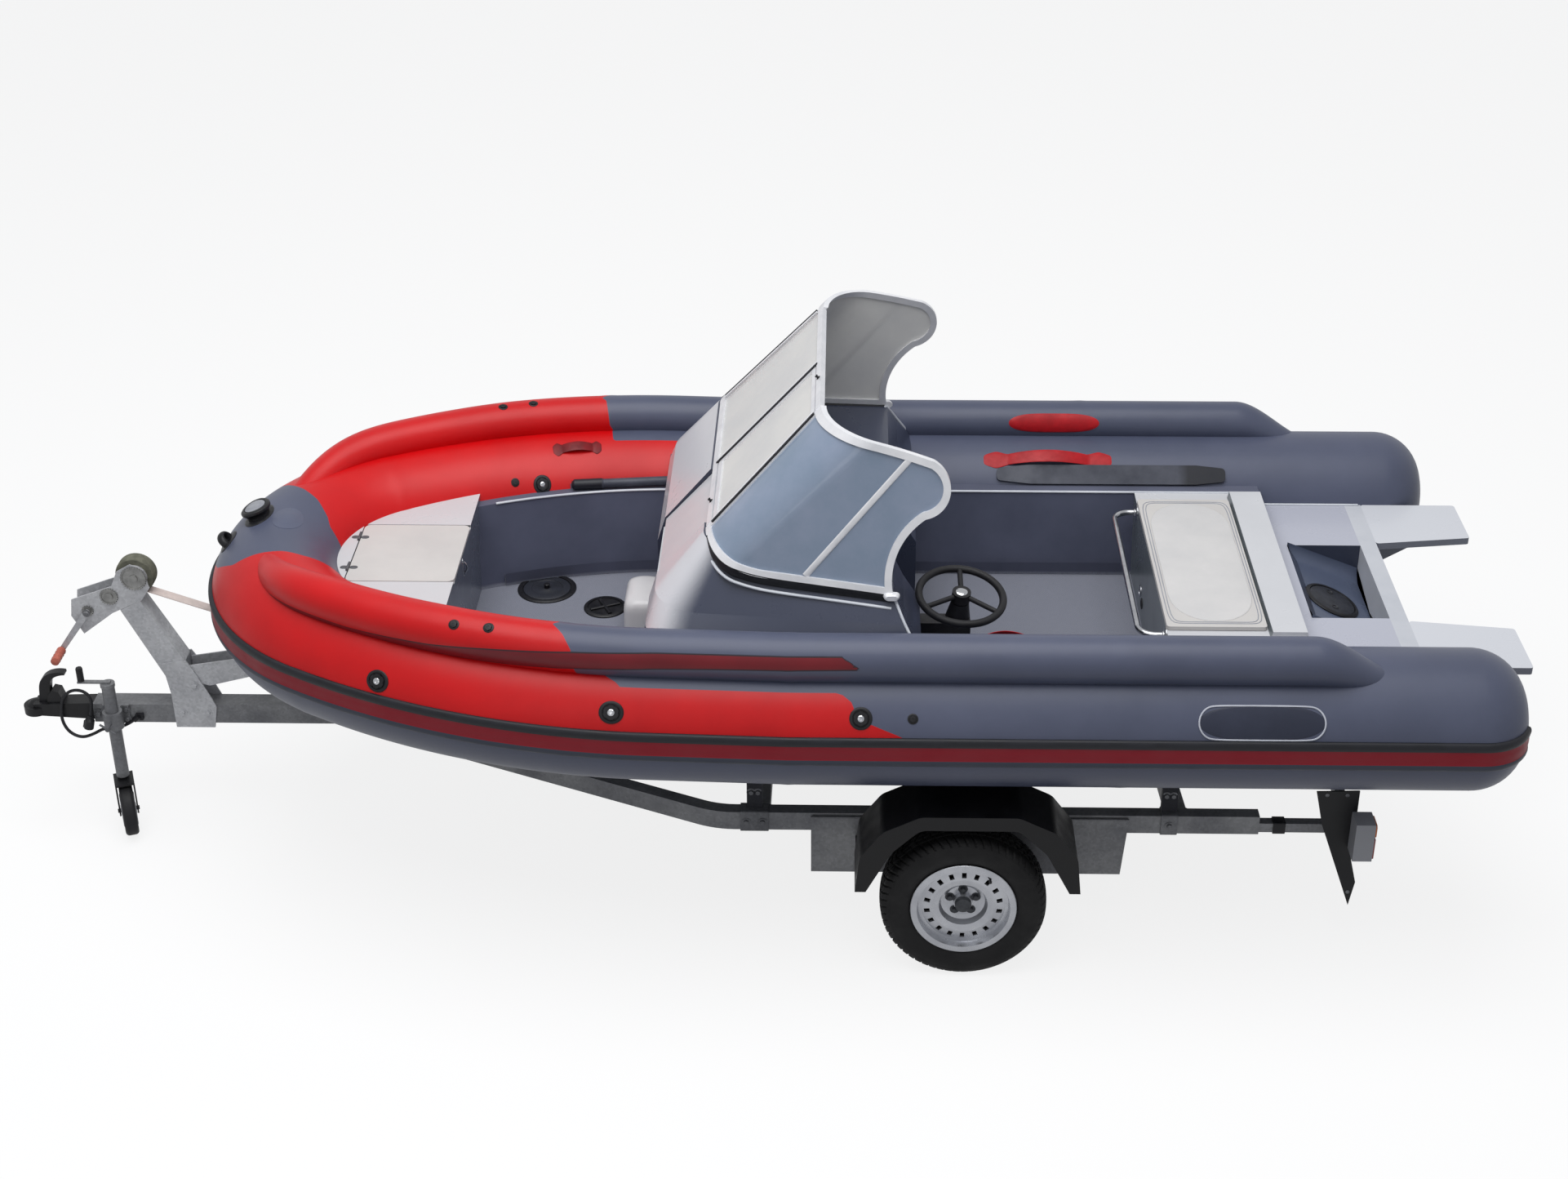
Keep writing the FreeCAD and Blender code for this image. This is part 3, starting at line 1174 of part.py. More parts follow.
def build():
    os.makedirs("parts", exist_ok=True)
    front = mitre_half(True)
    aft = mitre_half(False)

    bow_flat = collar_bow()
    side_flat = collar_side()
    tube_bow = sheered(bow_flat).common(front)
    tube_port = side_flat.common(aft)
    export("tube_bow", tube_bow)
    export_pair("tube", tube_port)
    tubes = Part.makeCompound([tube_bow, tube_port, mirror(tube_port)])

    bulwark = fuse([sheered(bulwark_forward(bow_flat)).common(front), bulwark_aft(side_flat).common(aft)])
    export_pair("bulwark_tube", bulwark)
    export("rub_strake", rub_strake(bow_flat, side_flat, front, aft))
    collar = Part.makeCompound([tube_bow, tube_port, mirror(tube_port), bulwark, mirror(bulwark)])

    export("hull", hull())
    export("deck_liner", deck_liner(tubes))
    export("bow_locker", bow_locker(tubes))
    export("bow_hatch_lid", bow_hatch_lid())
    export("seat_box", seat_box())
    export("seat_lid", seat_lid())
    export("grab_rail", grab_rail())
    export("stern_deck", stern_deck(tubes))
    export("transom", transom(tubes))
    platform = swim_platform().cut(tubes)
    export("swim_platforms", Part.makeCompound([platform, mirror(platform)]))
    export("tow_eye", tow_eye(tube_bow))
    export("oars", oars())

    starboard, port = consoles(collar)
    export("console_starboard", starboard)
    export("console_port", port)
    export("console_seat", console_seat())
    export("walkthrough_lid", walk_lid())
    export("walkthrough_door", walk_door())
    frame, glass = side_screen()
    frame = frame.cut(port)
    sides = Part.makeCompound([frame, mirror(frame)])
    export_pair("screen_frame", frame)
    export_pair("screen_glass", glass)
    export("screen_frame_front", front_frame(sides))
    export("screen_glass_front", front_glass().cut(sides))
    gate, pane = gate_frame()
    export("screen_gate_frame", gate)
    export("screen_gate_glass", pane)
    wheel_clear = Part.makeCylinder(34, 60, Vec(0, 0, -22), AZ)
    column = fuse([steering_placed(steering_column()), column_arm().cut(steering_placed(wheel_clear))])
    export("steering_wheel", steering_placed(steering_wheel()))
    export("steering_column", column)

    place = Vec(0, TYRE_Y, AXLE_Z)
    export_pair("tyre", tyre().translated(place))
    export_pair("rim", rim().translated(place))
    export("axle", axle())
    export_pair("fender", fender())
    export("drawbar", drawbar())
    export_pair("side_rail", side_rail())
    export("cross_members", Part.makeCompound([cross_member(CROSS_FRONT_X), cross_member(CROSS_AFT_X)]))
    board = bunk()
    export("bunks", Part.makeCompound([board, mirror(board)]))
    export("keel_roller", keel_roller())
    export("light_beam", light_beam())
    export("winch_post", winch_post())
    export("winch", winch())
    export("winch_crank", winch_crank())
    export("winch_strap", winch_strap())
    export("bow_roller", bow_roller())
    export("coupling", coupling())
    export("lead", lead())
    export("lead_clip", lead_clip())
    export("lead_plug", lead_plug())
    export("jockey_clamp", jockey_clamp())
    export("jockey_leg", jockey_leg())
    export("jockey_fork", jockey_fork())
    export("jockey_wheel", jockey_wheel())


build()
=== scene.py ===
"""Looks for the inflatable boat on its road trailer.  Metres; +X bow, +Y port, +Z up."""

import bmesh
import bpy
import numpy as np
from mathutils import Matrix, Vector


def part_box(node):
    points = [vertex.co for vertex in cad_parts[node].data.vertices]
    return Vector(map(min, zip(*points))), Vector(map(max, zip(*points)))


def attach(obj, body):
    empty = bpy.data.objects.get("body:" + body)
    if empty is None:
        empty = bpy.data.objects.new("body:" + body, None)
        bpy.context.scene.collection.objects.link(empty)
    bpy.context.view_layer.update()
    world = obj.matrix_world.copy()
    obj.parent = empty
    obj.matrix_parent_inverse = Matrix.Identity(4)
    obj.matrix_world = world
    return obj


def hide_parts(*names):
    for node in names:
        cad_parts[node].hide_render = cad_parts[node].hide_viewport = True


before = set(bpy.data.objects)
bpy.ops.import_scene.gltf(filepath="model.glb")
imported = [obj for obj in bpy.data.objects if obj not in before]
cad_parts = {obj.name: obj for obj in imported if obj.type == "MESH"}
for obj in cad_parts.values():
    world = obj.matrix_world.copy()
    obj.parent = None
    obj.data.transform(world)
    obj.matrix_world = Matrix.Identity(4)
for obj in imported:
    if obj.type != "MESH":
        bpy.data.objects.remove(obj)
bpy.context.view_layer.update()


# ---- viewpoint, floor and light -------------------------------------------------------
# The camera stands high off the port side and looks down on the boat.  The floor is a
# large pale sheet, and the light is a plain studio: an even room, one broad soft lamp
# overhead and a weaker one from the port side.
camera = bpy.data.objects.new("camera", bpy.data.cameras.new("camera"))
camera.data.lens = 53.5
camera.data.sensor_width = 36.0
camera.data.clip_end = 200.0
heading = Matrix.Rotation(np.radians(181.555), 4, "Z")
dip = Matrix.Rotation(np.radians(90.0 - 29.276), 4, "X")
roll = Matrix.Rotation(np.radians(-0.349), 4, "Z")
camera.matrix_world = Matrix.Translation((-0.3629, 7.3990, 5.1518)) @ heading @ dip @ roll
bpy.context.scene.collection.objects.link(camera)
bpy.context.scene.camera = camera
bpy.context.scene.view_settings.view_transform = "Standard"


def paint(red, green, blue):
    """A colour as it is seen on a screen, 0 to 255, turned into the linear RGBA that a shader takes."""
    seen = np.array([red, green, blue]) / 255.0
    linear = np.where(seen <= 0.04045, seen / 12.92, ((seen + 0.055) / 1.055) ** 2.4)
    return (*linear.tolist(), 1.0)


def white_to_camera(tree, surface, own, output):
    """Blends a plain white glow over a shader where a camera or glass ray sees it, and half as much
    of it where a reflection does; gives back the node that holds this weight of the ray."""
    ray = tree.nodes.new("ShaderNodeLightPath")
    mirror = tree.nodes.new("ShaderNodeMath")
    mirror.operation = "MULTIPLY"
    mirror.inputs[1].default_value = 0.5
    tree.links.new(ray.outputs["Is Glossy Ray"], mirror.inputs[0])
    seen = mirror
    for kind in ("Is Camera Ray", "Is Transmission Ray"):
        either = tree.nodes.new("ShaderNodeMath")
        either.operation = "MAXIMUM"
        tree.links.new(seen.outputs[0], either.inputs[0])
        tree.links.new(ray.outputs[kind], either.inputs[1])
        seen = either
    share = tree.nodes.new("ShaderNodeMath")
    share.operation = "MULTIPLY"
    share.inputs[1].default_value = own
    tree.links.new(seen.outputs[0], share.inputs[0])
    blend = tree.nodes.new("ShaderNodeMixShader")
    tree.links.new(share.outputs[0], blend.inputs["Fac"])
    tree.links.new(surface.outputs[0], blend.inputs[1])
    glow = tree.nodes.new("ShaderNodeBackground" if output.bl_idname.endswith("World") else "ShaderNodeEmission")
    glow.inputs["Color"].default_value = (1.0, 1.0, 1.0, 1.0)
    glow.inputs["Strength"].default_value = 1.0
    tree.links.new(glow.outputs[0], blend.inputs[2])
    tree.links.new(blend.outputs[0], output.inputs["Surface"])
    return seen


room = bpy.data.worlds.new("studio")
bpy.context.scene.world = room
room.use_nodes = True
backdrop = room.node_tree.nodes["Background"]
backdrop.inputs["Color"].default_value = (0.93, 0.96, 1.0, 1.0)
backdrop.inputs["Strength"].default_value = 0.42
white_to_camera(room.node_tree, backdrop, 1.0, room.node_tree.nodes["World Output"])

ground = bpy.data.meshes.new("floor")
reach = 60.0
ground.from_pydata([(-reach, -reach, 0), (reach, -reach, 0), (reach, reach, 0), (-reach, reach, 0)], [],
                   [(0, 1, 2, 3)])
floor = bpy.data.objects.new("floor", ground)
bpy.context.scene.collection.objects.link(floor)
sheet_white = bpy.data.materials.new("floor_sheet")
sheet_white.use_nodes = True
sheet_shader = sheet_white.node_tree.nodes["Principled BSDF"]
sheet_shader.inputs["Roughness"].default_value = 0.9
sheet_shader.inputs["Specular IOR Level"].default_value = 0.1
sheet_seen = white_to_camera(sheet_white.node_tree, sheet_shader, 0.83,
                             sheet_white.node_tree.nodes["Material Output"])
sheet_colour = sheet_white.node_tree.nodes.new("ShaderNodeMix")
sheet_colour.data_type = "RGBA"
sheet_colour.inputs["A"].default_value = (0.36, 0.36, 0.37, 1.0)
sheet_colour.inputs["B"].default_value = (0.94, 0.94, 0.95, 1.0)
sheet_white.node_tree.links.new(sheet_seen.outputs[0], sheet_colour.inputs["Factor"])
sheet_white.node_tree.links.new(sheet_colour.outputs["Result"], sheet_shader.inputs["Base Color"])
ground.materials.append(sheet_white)

for name, place, aim, size, power in (
        ("overhead_lamp", (0.5, 1.5, 8.0), (0.0, 0.0, 0.8), 7.0, 560.0),
        ("side_lamp", (2.5, 9.0, 4.5), (0.0, 0.0, 0.8), 4.0, 40.0)):
    lamp = bpy.data.objects.new(name, bpy.data.lights.new(name, "AREA"))
    lamp.data.size = size
    lamp.data.energy = power
    lamp.matrix_world = (Matrix.Translation(place)
                         @ (Vector(aim) - Vector(place)).to_track_quat("-Z", "Y").to_matrix().to_4x4())
    bpy.context.scene.collection.objects.link(lamp)


# ---- lamp lead ------------------------------------------------------------------------
# The cable that feeds the trailer's lamps from the car.  It is round rubber cable, 12 mm
# thick, held by a moulded clip on the drawbar; it sags in a loop beside the neck, goes up
# over it and hangs down again to its seven-pin plug, parked with the lid up.
def finish(name, base, second, patch, rough, grain, lift, **sockets):
    """A worked surface: cloudy mixing of two colours over patches of the given size, gloss that
    drifts between two values over the same size, and relief of the given height at the grain's size."""
    material = bpy.data.materials.new(name)
    material.use_nodes = True
    tree = material.node_tree
    shader = tree.nodes["Principled BSDF"]
    where = tree.nodes.new("ShaderNodeTexCoord")
    cloud = tree.nodes.new("ShaderNodeTexNoise")
    cloud.inputs["Scale"].default_value = 1.0 / patch
    cloud.inputs["Detail"].default_value = 6.0
    cloud.inputs["Roughness"].default_value = 0.62
    tree.links.new(where.outputs["Object"], cloud.inputs["Vector"])
    spread = tree.nodes.new("ShaderNodeMapRange")
    spread.inputs["From Min"].default_value = 0.36
    spread.inputs["From Max"].default_value = 0.66
    tree.links.new(cloud.outputs["Fac"], spread.inputs["Value"])
    mix = tree.nodes.new("ShaderNodeMix")
    mix.name = "colour"
    mix.data_type = "RGBA"
    mix.inputs["A"].default_value = base
    mix.inputs["B"].default_value = second
    tree.links.new(spread.outputs["Result"], mix.inputs["Factor"])
    tree.links.new(mix.outputs["Result"], shader.inputs["Base Color"])
    gloss = tree.nodes.new("ShaderNodeMapRange")
    gloss.inputs["To Min"].default_value = rough[0]
    gloss.inputs["To Max"].default_value = rough[1]
    tree.links.new(spread.outputs["Result"], gloss.inputs["Value"])
    tree.links.new(gloss.outputs["Result"], shader.inputs["Roughness"])
    fine = tree.nodes.new("ShaderNodeTexNoise")
    fine.name = "grain"
    fine.inputs["Scale"].default_value = 1.0 / grain
    fine.inputs["Detail"].default_value = 4.0
    tree.links.new(where.outputs["Object"], fine.inputs["Vector"])
    relief = tree.nodes.new("ShaderNodeBump")
    relief.name = "relief"
    relief.inputs["Distance"].default_value = lift
    tree.links.new(fine.outputs["Fac"], relief.inputs["Height"])
    tree.links.new(relief.outputs["Normal"], shader.inputs["Normal"])
    shader.inputs["Specular IOR Level"].default_value = 0.28
    for socket, value in sockets.items():
        shader.inputs[socket.replace("_", " ")].default_value = value
    return material


def dress(material, *names):
    """Gives CAD nodes a finish in their own material slots."""
    for name in names:
        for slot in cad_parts[name].material_slots:
            slot.material = material


def wired(material, kind, inputs, **settings):
    """Adds one node to a material; inputs are values, or (node, output name) for a link."""
    tree = material.node_tree
    node = tree.nodes.new(kind)
    for key, value in settings.items():
        setattr(node, key, value)
    for key, value in inputs.items():
        if isinstance(value, tuple) and isinstance(value[0], bpy.types.Node):
            tree.links.new(value[0].outputs[value[1]], node.inputs[key])
        else:
            node.inputs[key].default_value = value
    return node


axle_x = sum(corner[0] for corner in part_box("rim_port")) / 2
lead_route = [(3080, 56, 452), (3113, 56, 427), (3156, 51, 415), (3205, 51, 409), (3246, 53, 384), (3293, 52, 367),
              (3337, 50, 389), (3358, 47, 435), (3355, 46, 487), (3342, 46, 541), (3306, 48, 575), (3261, 54, 580),
              (3228, 61, 555), (3229, 67, 514), (3238, 70, 478)]
cable_black = finish("cable_sheath", paint(26, 26, 30), paint(38, 38, 42), 0.05, (0.38, 0.6), 0.0016, 0.0002)
lead_line = bpy.data.curves.new("lead", "CURVE")
lead_line.dimensions = "3D"
lead_line.bevel_depth = 0.006
lead_line.bevel_resolution = 5
lead_line.resolution_u = 8
lead_line.use_fill_caps = True
lead_run = lead_line.splines.new("NURBS")
lead_run.points.add(len(lead_route) - 1)
for point, (x, y, z) in zip(lead_run.points, lead_route):
    point.co = (axle_x + x / 1000, y / 1000, z / 1000, 1.0)
lead_run.order_u = 3
lead_run.use_endpoint_u = True
lead_line.materials.append(cable_black)
lead_cable = bpy.data.objects.new("lead_cable", lead_line)
bpy.context.scene.collection.objects.link(lead_cable)
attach(lead_cable, "boat_and_trailer")
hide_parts("lead")
plug_black = finish("plug_plastic", paint(24, 24, 27), paint(34, 34, 38), 0.03, (0.35, 0.5), 0.001, 0.0003)
dress(plug_black, "lead_plug", "lead_clip")


# ---- hull -----------------------------------------------------------------------------
# A V-bottomed shell laid up in glass fibre with a smooth grey gelcoat.  The gelcoat is
# slightly wavy, and rubbed duller in patches here and there.
gelcoat_grey = finish("hull_gelcoat", paint(126, 130, 140), paint(104, 108, 120), 0.35, (0.22, 0.5), 0.02, 0.0004,
                      Coat_Weight=0.5, Coat_Roughness=0.15)
dress(gelcoat_grey, "hull")


# ---- cockpit liner --------------------------------------------------------------------
# The deck moulding that lines the cockpit.  Its sides are flocked dark blue-grey, and its
# floor is a paler grey with a raised anti-slip pattern of small diamonds.
def object_place(material):
    """The finish's own texture-coordinate node."""
    return next(n for n in material.node_tree.nodes if n.bl_idname == "ShaderNodeTexCoord")


liner_flock = finish("liner_flock", paint(69, 73, 92), paint(80, 84, 104), 0.25, (0.55, 0.75), 0.0012, 0.0005,
                     Sheen_Weight=0.25, Sheen_Roughness=0.5)
liner_tree = liner_flock.node_tree
liner_place = object_place(liner_flock)
liner_axes = wired(liner_flock, "ShaderNodeSeparateXYZ", {"Vector": (liner_place, "Object")})
# 1 below the cove's top, 0 above it, with a soft edge
on_floor = wired(liner_flock, "ShaderNodeMapRange", {"Value": (liner_axes, "Z"), "From Min": 0.816, "From Max": 0.806})
liner_shader = liner_tree.nodes["Principled BSDF"]
floor_grey = wired(liner_flock, "ShaderNodeMix", {
    "Factor": (on_floor, "Result"), "A": (liner_tree.nodes["colour"], "Result"), "B": paint(118, 121, 134)},
    data_type="RGBA")
liner_tree.links.new(floor_grey.outputs["Result"], liner_shader.inputs["Base Color"])
turned_place = wired(liner_flock, "ShaderNodeMapping", {
    "Vector": (liner_place, "Object"), "Rotation": (0.0, 0.0, np.pi / 4), "Scale": (1.0, 1.0, 0.0)})
diamonds = wired(liner_flock, "ShaderNodeTexVoronoi", {
    "Vector": (turned_place, "Vector"), "Scale": 140.0, "Randomness": 0.0}, distance="CHEBYCHEV")
studs = wired(liner_flock, "ShaderNodeMapRange", {"Value": (diamonds, "Distance"), "From Min": 0.42, "From Max": 0.3})
stud_height = wired(liner_flock, "ShaderNodeMath", {0: (studs, "Result"), 1: (on_floor, "Result")}, operation="MULTIPLY")
stud_relief = wired(liner_flock, "ShaderNodeBump", {
    "Height": (stud_height, "Value"), "Distance": 0.0008, "Normal": (liner_tree.nodes["relief"], "Normal")})
liner_tree.links.new(stud_relief.outputs["Normal"], liner_shader.inputs["Normal"])
dress(liner_flock, "deck_liner")


# ---- collar ---------------------------------------------------------------------------
# The inflated collar, cut from coated fabric and welded: a forward chamber that runs round
# the nose and a straight chamber each side with a domed stern end.  Red panels forward run
# into dark blue-grey ones aft, and a grey patch wraps the nose.
tube_r = 0.237
half_beam = 0.829
axis_z = 0.995
bend_x = axle_x + 1.05
nose_r = 0.6
nose_x = axle_x + 2.465 - nose_r
side_run = nose_x - bend_x
side_r = (side_run ** 2 + half_beam ** 2 - nose_r ** 2) / (2 * (half_beam - nose_r))
side_turn = np.arctan2(side_run, side_r - half_beam)
nose_len = nose_r * (np.pi / 2 - side_turn)
curved_len = nose_len + side_r * side_turn
sheer_x = axle_x + 0.6
sheer = np.radians(1.6)
stern_x = axle_x - 1.825
dome_r = 0.175
stern_u = curved_len + bend_x - stern_x - dome_r


def collar_point(u, angle, out, up, radius):
    """Point on a tube carried along the collar's plan curve.

    u is the length along the centre line from the stem, port positive: first a quarter of the nose
    circle, then the wide side arc, then straight aft.  The section there is a circle of the radius at
    the angle in degrees (0 outboard, 90 up), its middle moved out and up from the centre line.  Ahead
    of the sheer joint everything is turned up by the sheer angle.
    """
    u, angle, out, up, radius = np.broadcast_arrays(u, angle, out, up, radius)
    along = np.abs(u)
    heading = np.where(along < nose_len, np.pi / 2 - along / nose_r,
                       np.clip(side_turn - (along - nose_len) / side_r, 0, None))
    on_nose = along < nose_len
    x = np.where(on_nose, nose_x + nose_r * np.sin(heading), bend_x + side_r * np.sin(heading))
    x = x - np.clip(along - curved_len, 0, None)
    y = np.where(on_nose, nose_r * np.cos(heading), half_beam - side_r + side_r * np.cos(heading))
    away = out + radius * np.cos(np.radians(angle))
    x = x + away * np.sin(heading)
    y = np.where(u < 0, -1, 1) * (y + away * np.cos(heading))
    z = up + radius * np.sin(np.radians(angle))
    ahead = np.clip((x - sheer_x) / 0.02, 0, 1)
    turn = sheer * ahead
    x, z = (sheer_x + (x - sheer_x) * np.cos(turn) - z * np.sin(turn),
            axis_z + (x - sheer_x) * np.sin(turn) + z * np.cos(turn))
    return np.stack([x, y, z], -1)


def skin(name, grids, materials, body, uvs=None, fields=None, which=None, closed=True, crisp=40.0):
    """Piece made of skins over grids of points, each (rows, columns, xyz): one quad between every four
    neighbours.  Doubles along seams and at poles are merged, and closed skins face outwards."""
    points, quads, slots, wraps = [], [], [], []
    total = 0
    for number, grid in enumerate(grids):
        rows, columns = grid.shape[:2]
        index = total + np.arange(rows * columns).reshape(rows, columns)
        faces = np.stack([index[:-1, :-1], index[1:, :-1], index[1:, 1:], index[:-1, 1:]], -1).reshape(-1, 4)
        points.append(grid.reshape(-1, 3))
        quads.append(faces)
        slots.append(np.full(len(faces), which[number] if which else 0))
        if uvs:
            wraps.append(uvs[number].reshape(-1, 2)[faces.reshape(-1) - total])
        total += rows * columns
    mesh = bpy.data.meshes.new(name)
    mesh.from_pydata(np.concatenate(points).tolist(), [], np.concatenate(quads).tolist())
    mesh.polygons.foreach_set("material_index", np.concatenate(slots).astype(np.int32))
    if uvs:
        mesh.uv_layers.new(name="UVMap").data.foreach_set("uv", np.concatenate(wraps).ravel())
    for key, values in (fields or {}).items():
        layer = mesh.attributes.new(key, "FLOAT", "POINT")
        layer.data.foreach_set("value", np.concatenate([v.ravel() for v in values]).astype(np.float32))
    work = bmesh.new()
    work.from_mesh(mesh)
    bmesh.ops.remove_doubles(work, verts=work.verts, dist=2e-6)
    bmesh.ops.dissolve_degenerate(work, edges=work.edges, dist=1e-7)
    if closed:
        bmesh.ops.recalc_face_normals(work, faces=work.faces)
    work.to_mesh(mesh)
    work.free()
    for material in materials:
        mesh.materials.append(material)
    mesh.shade_smooth()
    mesh.set_sharp_from_angle(angle=np.radians(crisp))
    piece = bpy.data.objects.new(name, mesh)
    bpy.context.scene.collection.objects.link(piece)
    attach(piece, body)
    return piece


def seam_lift(u, places):
    """Welded tapes: the skin rises 1 mm over a band 36 mm wide at each place, with soft shoulders."""
    near = np.min(np.abs(np.abs(u)[..., None] - np.array(places)), -1)
    return 0.001 * np.clip((0.022 - near) / 0.004, 0, 1)


# rows along the collar: port stern dome, then round the nose to the starboard stern dome
straight_rows = np.linspace(stern_u, -stern_u, 401)
dome_turn = np.radians(np.linspace(90, 5, 14))
dome_rows = stern_u + dome_r * np.sin(dome_turn)
row_u = np.concatenate([[dome_rows[0] + 0.004], dome_rows, straight_rows, -dome_rows[::-1], [-dome_rows[0] - 0.004]])
dome_radius = tube_r - dome_r + dome_r * np.cos(dome_turn)
row_r = np.concatenate([[0.0], dome_radius, np.full(401, tube_r), dome_radius[::-1], [0.0]])
around = np.linspace(-180, 180, 97)
grid_u, grid_v = np.meshgrid(row_u, around, indexing="ij")
grid_r = np.broadcast_to(row_r[:, None], grid_u.shape)
swell = seam_lift(grid_u, [0.62, 2.25, 3.35]) * (grid_r / tube_r)
collar_grid = collar_point(grid_u, grid_v, 0.0, 0.0, grid_r + swell)

# colour fields: metres inside (+) or outside (-) each panel's edge
arc = tube_r * np.pi / 180
along = np.abs(grid_u)
port_patch = np.interp(grid_v, [12, 30, 50, 73, 95, 110, 180], [0.0, 0.13, 0.214, 0.236, 0.264, 0.306, 0.4])
starboard_patch = np.interp(grid_v, [12, 30, 57, 90, 110, 127, 135, 180],
                            [0.0, 0.16, 0.274, 0.239, 0.206, 0.146, 0.096, 0.0])
nose_patch = np.where(grid_u > 0, port_patch, starboard_patch) - along
outer_full = np.interp(grid_v, [46, 52, 59, 90], [1.70, 1.697, 1.647, 1.60]) - along
outer_tail = np.minimum(np.interp(grid_v, [12, 18, 28, 41, 50], [2.64, 2.579, 2.479, 2.459, 2.414]) - along,
                        (48.5 - grid_v) * arc)
outer_red = np.minimum(np.maximum(outer_full, outer_tail), (grid_v + 9.0) * arc)
inner_red = np.minimum(np.maximum(1.52 - along, np.minimum(2.41 - along, (grid_v - 107) * arc)),
                       np.maximum(1.33 - along, (149 - grid_v) * arc))
red_field = np.minimum(np.where(grid_v < 90, outer_red, inner_red), -nose_patch)


def coated_cloth(name, panels):
    """Coated fabric: the colour follows signed edge fields, the weave shows faintly through the coat."""
    material = finish(name, paint(72, 77, 96), paint(80, 85, 105), 0.5, (0.34, 0.44), 0.004, 0.00012,
                      Coat_Weight=0.12, Coat_Roughness=0.3)
    colour = (material.node_tree.nodes["colour"], "Result")
    for field, first, second in panels:
        edge = wired(material, "ShaderNodeAttribute", {}, attribute_name=field)
        share = wired(material, "ShaderNodeMapRange", {
            "Value": (edge, "Fac"), "From Min": -0.0012, "From Max": 0.0012})
        cloud = next(n for n in material.node_tree.nodes if n.bl_idname == "ShaderNodeMapRange")
        shade = wired(material, "ShaderNodeMix", {
            "Factor": (cloud, "Result"), "A": first, "B": second}, data_type="RGBA")
        layered = wired(material, "ShaderNodeMix", {
            "Factor": (share, "Result"), "A": colour, "B": (shade, "Result")}, data_type="RGBA")
        colour = (layered, "Result")
    shader = material.node_tree.nodes["Principled BSDF"]
    material.node_tree.links.new(colour[0].outputs[colour[1]], shader.inputs["Base Color"])
    wrap = wired(material, "ShaderNodeUVMap", {}, uv_map="UVMap")
    warp = wired(material, "ShaderNodeTexWave", {"Vector": (wrap, "UV"), "Scale": 190.0}, bands_direction="X")
    weft = wired(material, "ShaderNodeTexWave", {"Vector": (wrap, "UV"), "Scale": 190.0}, bands_direction="Y")
    weave = wired(material, "ShaderNodeMath", {0: (warp, "Fac"), 1: (weft, "Fac")}, operation="ADD")
    woven = wired(material, "ShaderNodeBump", {
        "Height": (weave, "Value"), "Distance": 0.00006, "Normal": (material.node_tree.nodes["relief"], "Normal")})
    slack = wired(material, "ShaderNodeTexNoise", {
        "Vector": (object_place(material), "Object"), "Scale": 2.6, "Detail": 1.0})
    sag = wired(material, "ShaderNodeBump", {
        "Height": (slack, "Fac"), "Distance": 0.006, "Strength": 0.6, "Normal": (woven, "Normal")})
    material.node_tree.links.new(sag.outputs["Normal"], shader.inputs["Normal"])
    return material


red_a, red_b = paint(196, 4, 10), paint(180, 2, 8)
collar_cloth = coated_cloth("collar_cloth", [("red_panel", red_a, red_b)])
collar = skin("collar_chambers", [collar_grid], [collar_cloth], "boat_and_trailer",
              uvs=[np.stack([grid_u, grid_v * arc], -1)], fields={"red_panel": [red_field]})
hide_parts("tube_bow", "tube_port", "tube_starboard")


# ---- bulwark tubes --------------------------------------------------------------------
# A slim tube welded along the top of the collar each side.  It sinks into the nose ahead
# and runs out in a cone aft.  Its outer face carries a narrow red flash that ends in a slanted
# tip; lying on the down-turned side, it is painted dark red as shade and edged in black as painted shadow.
bulwark_stops = np.array([nose_r * np.radians(24), nose_r * np.radians(40), nose_r * np.radians(56),
                          nose_len + side_r * (side_turn - np.radians(18)), curved_len + 1.05 + 1.105,
                          curved_len + 1.05 + 1.105 + 0.32])
bulwark_u = np.concatenate([np.linspace(bulwark_stops[0], bulwark_stops[4], 161),
                            bulwark_stops[4] + 0.32 * np.linspace(0.03, 1, 24)])
cone = np.clip((bulwark_u - bulwark_stops[4]) / 0.32, 0, 1)
ease = cone * cone * (3 - 2 * cone)


def along_bulwark(values, small):
    """Smoothed run of a value through the stops at the nose, then eased to the cone's small end."""
    fine = np.linspace(bulwark_stops[0], bulwark_stops[4], 600)
    run = np.interp(fine, bulwark_stops[:4], values)
    kernel = np.hanning(61) / np.hanning(61).sum()
    run = np.convolve(np.pad(run, 30, mode="edge"), kernel, mode="valid")
    return np.interp(bulwark_u, fine, run) * (1 - ease) + small * ease


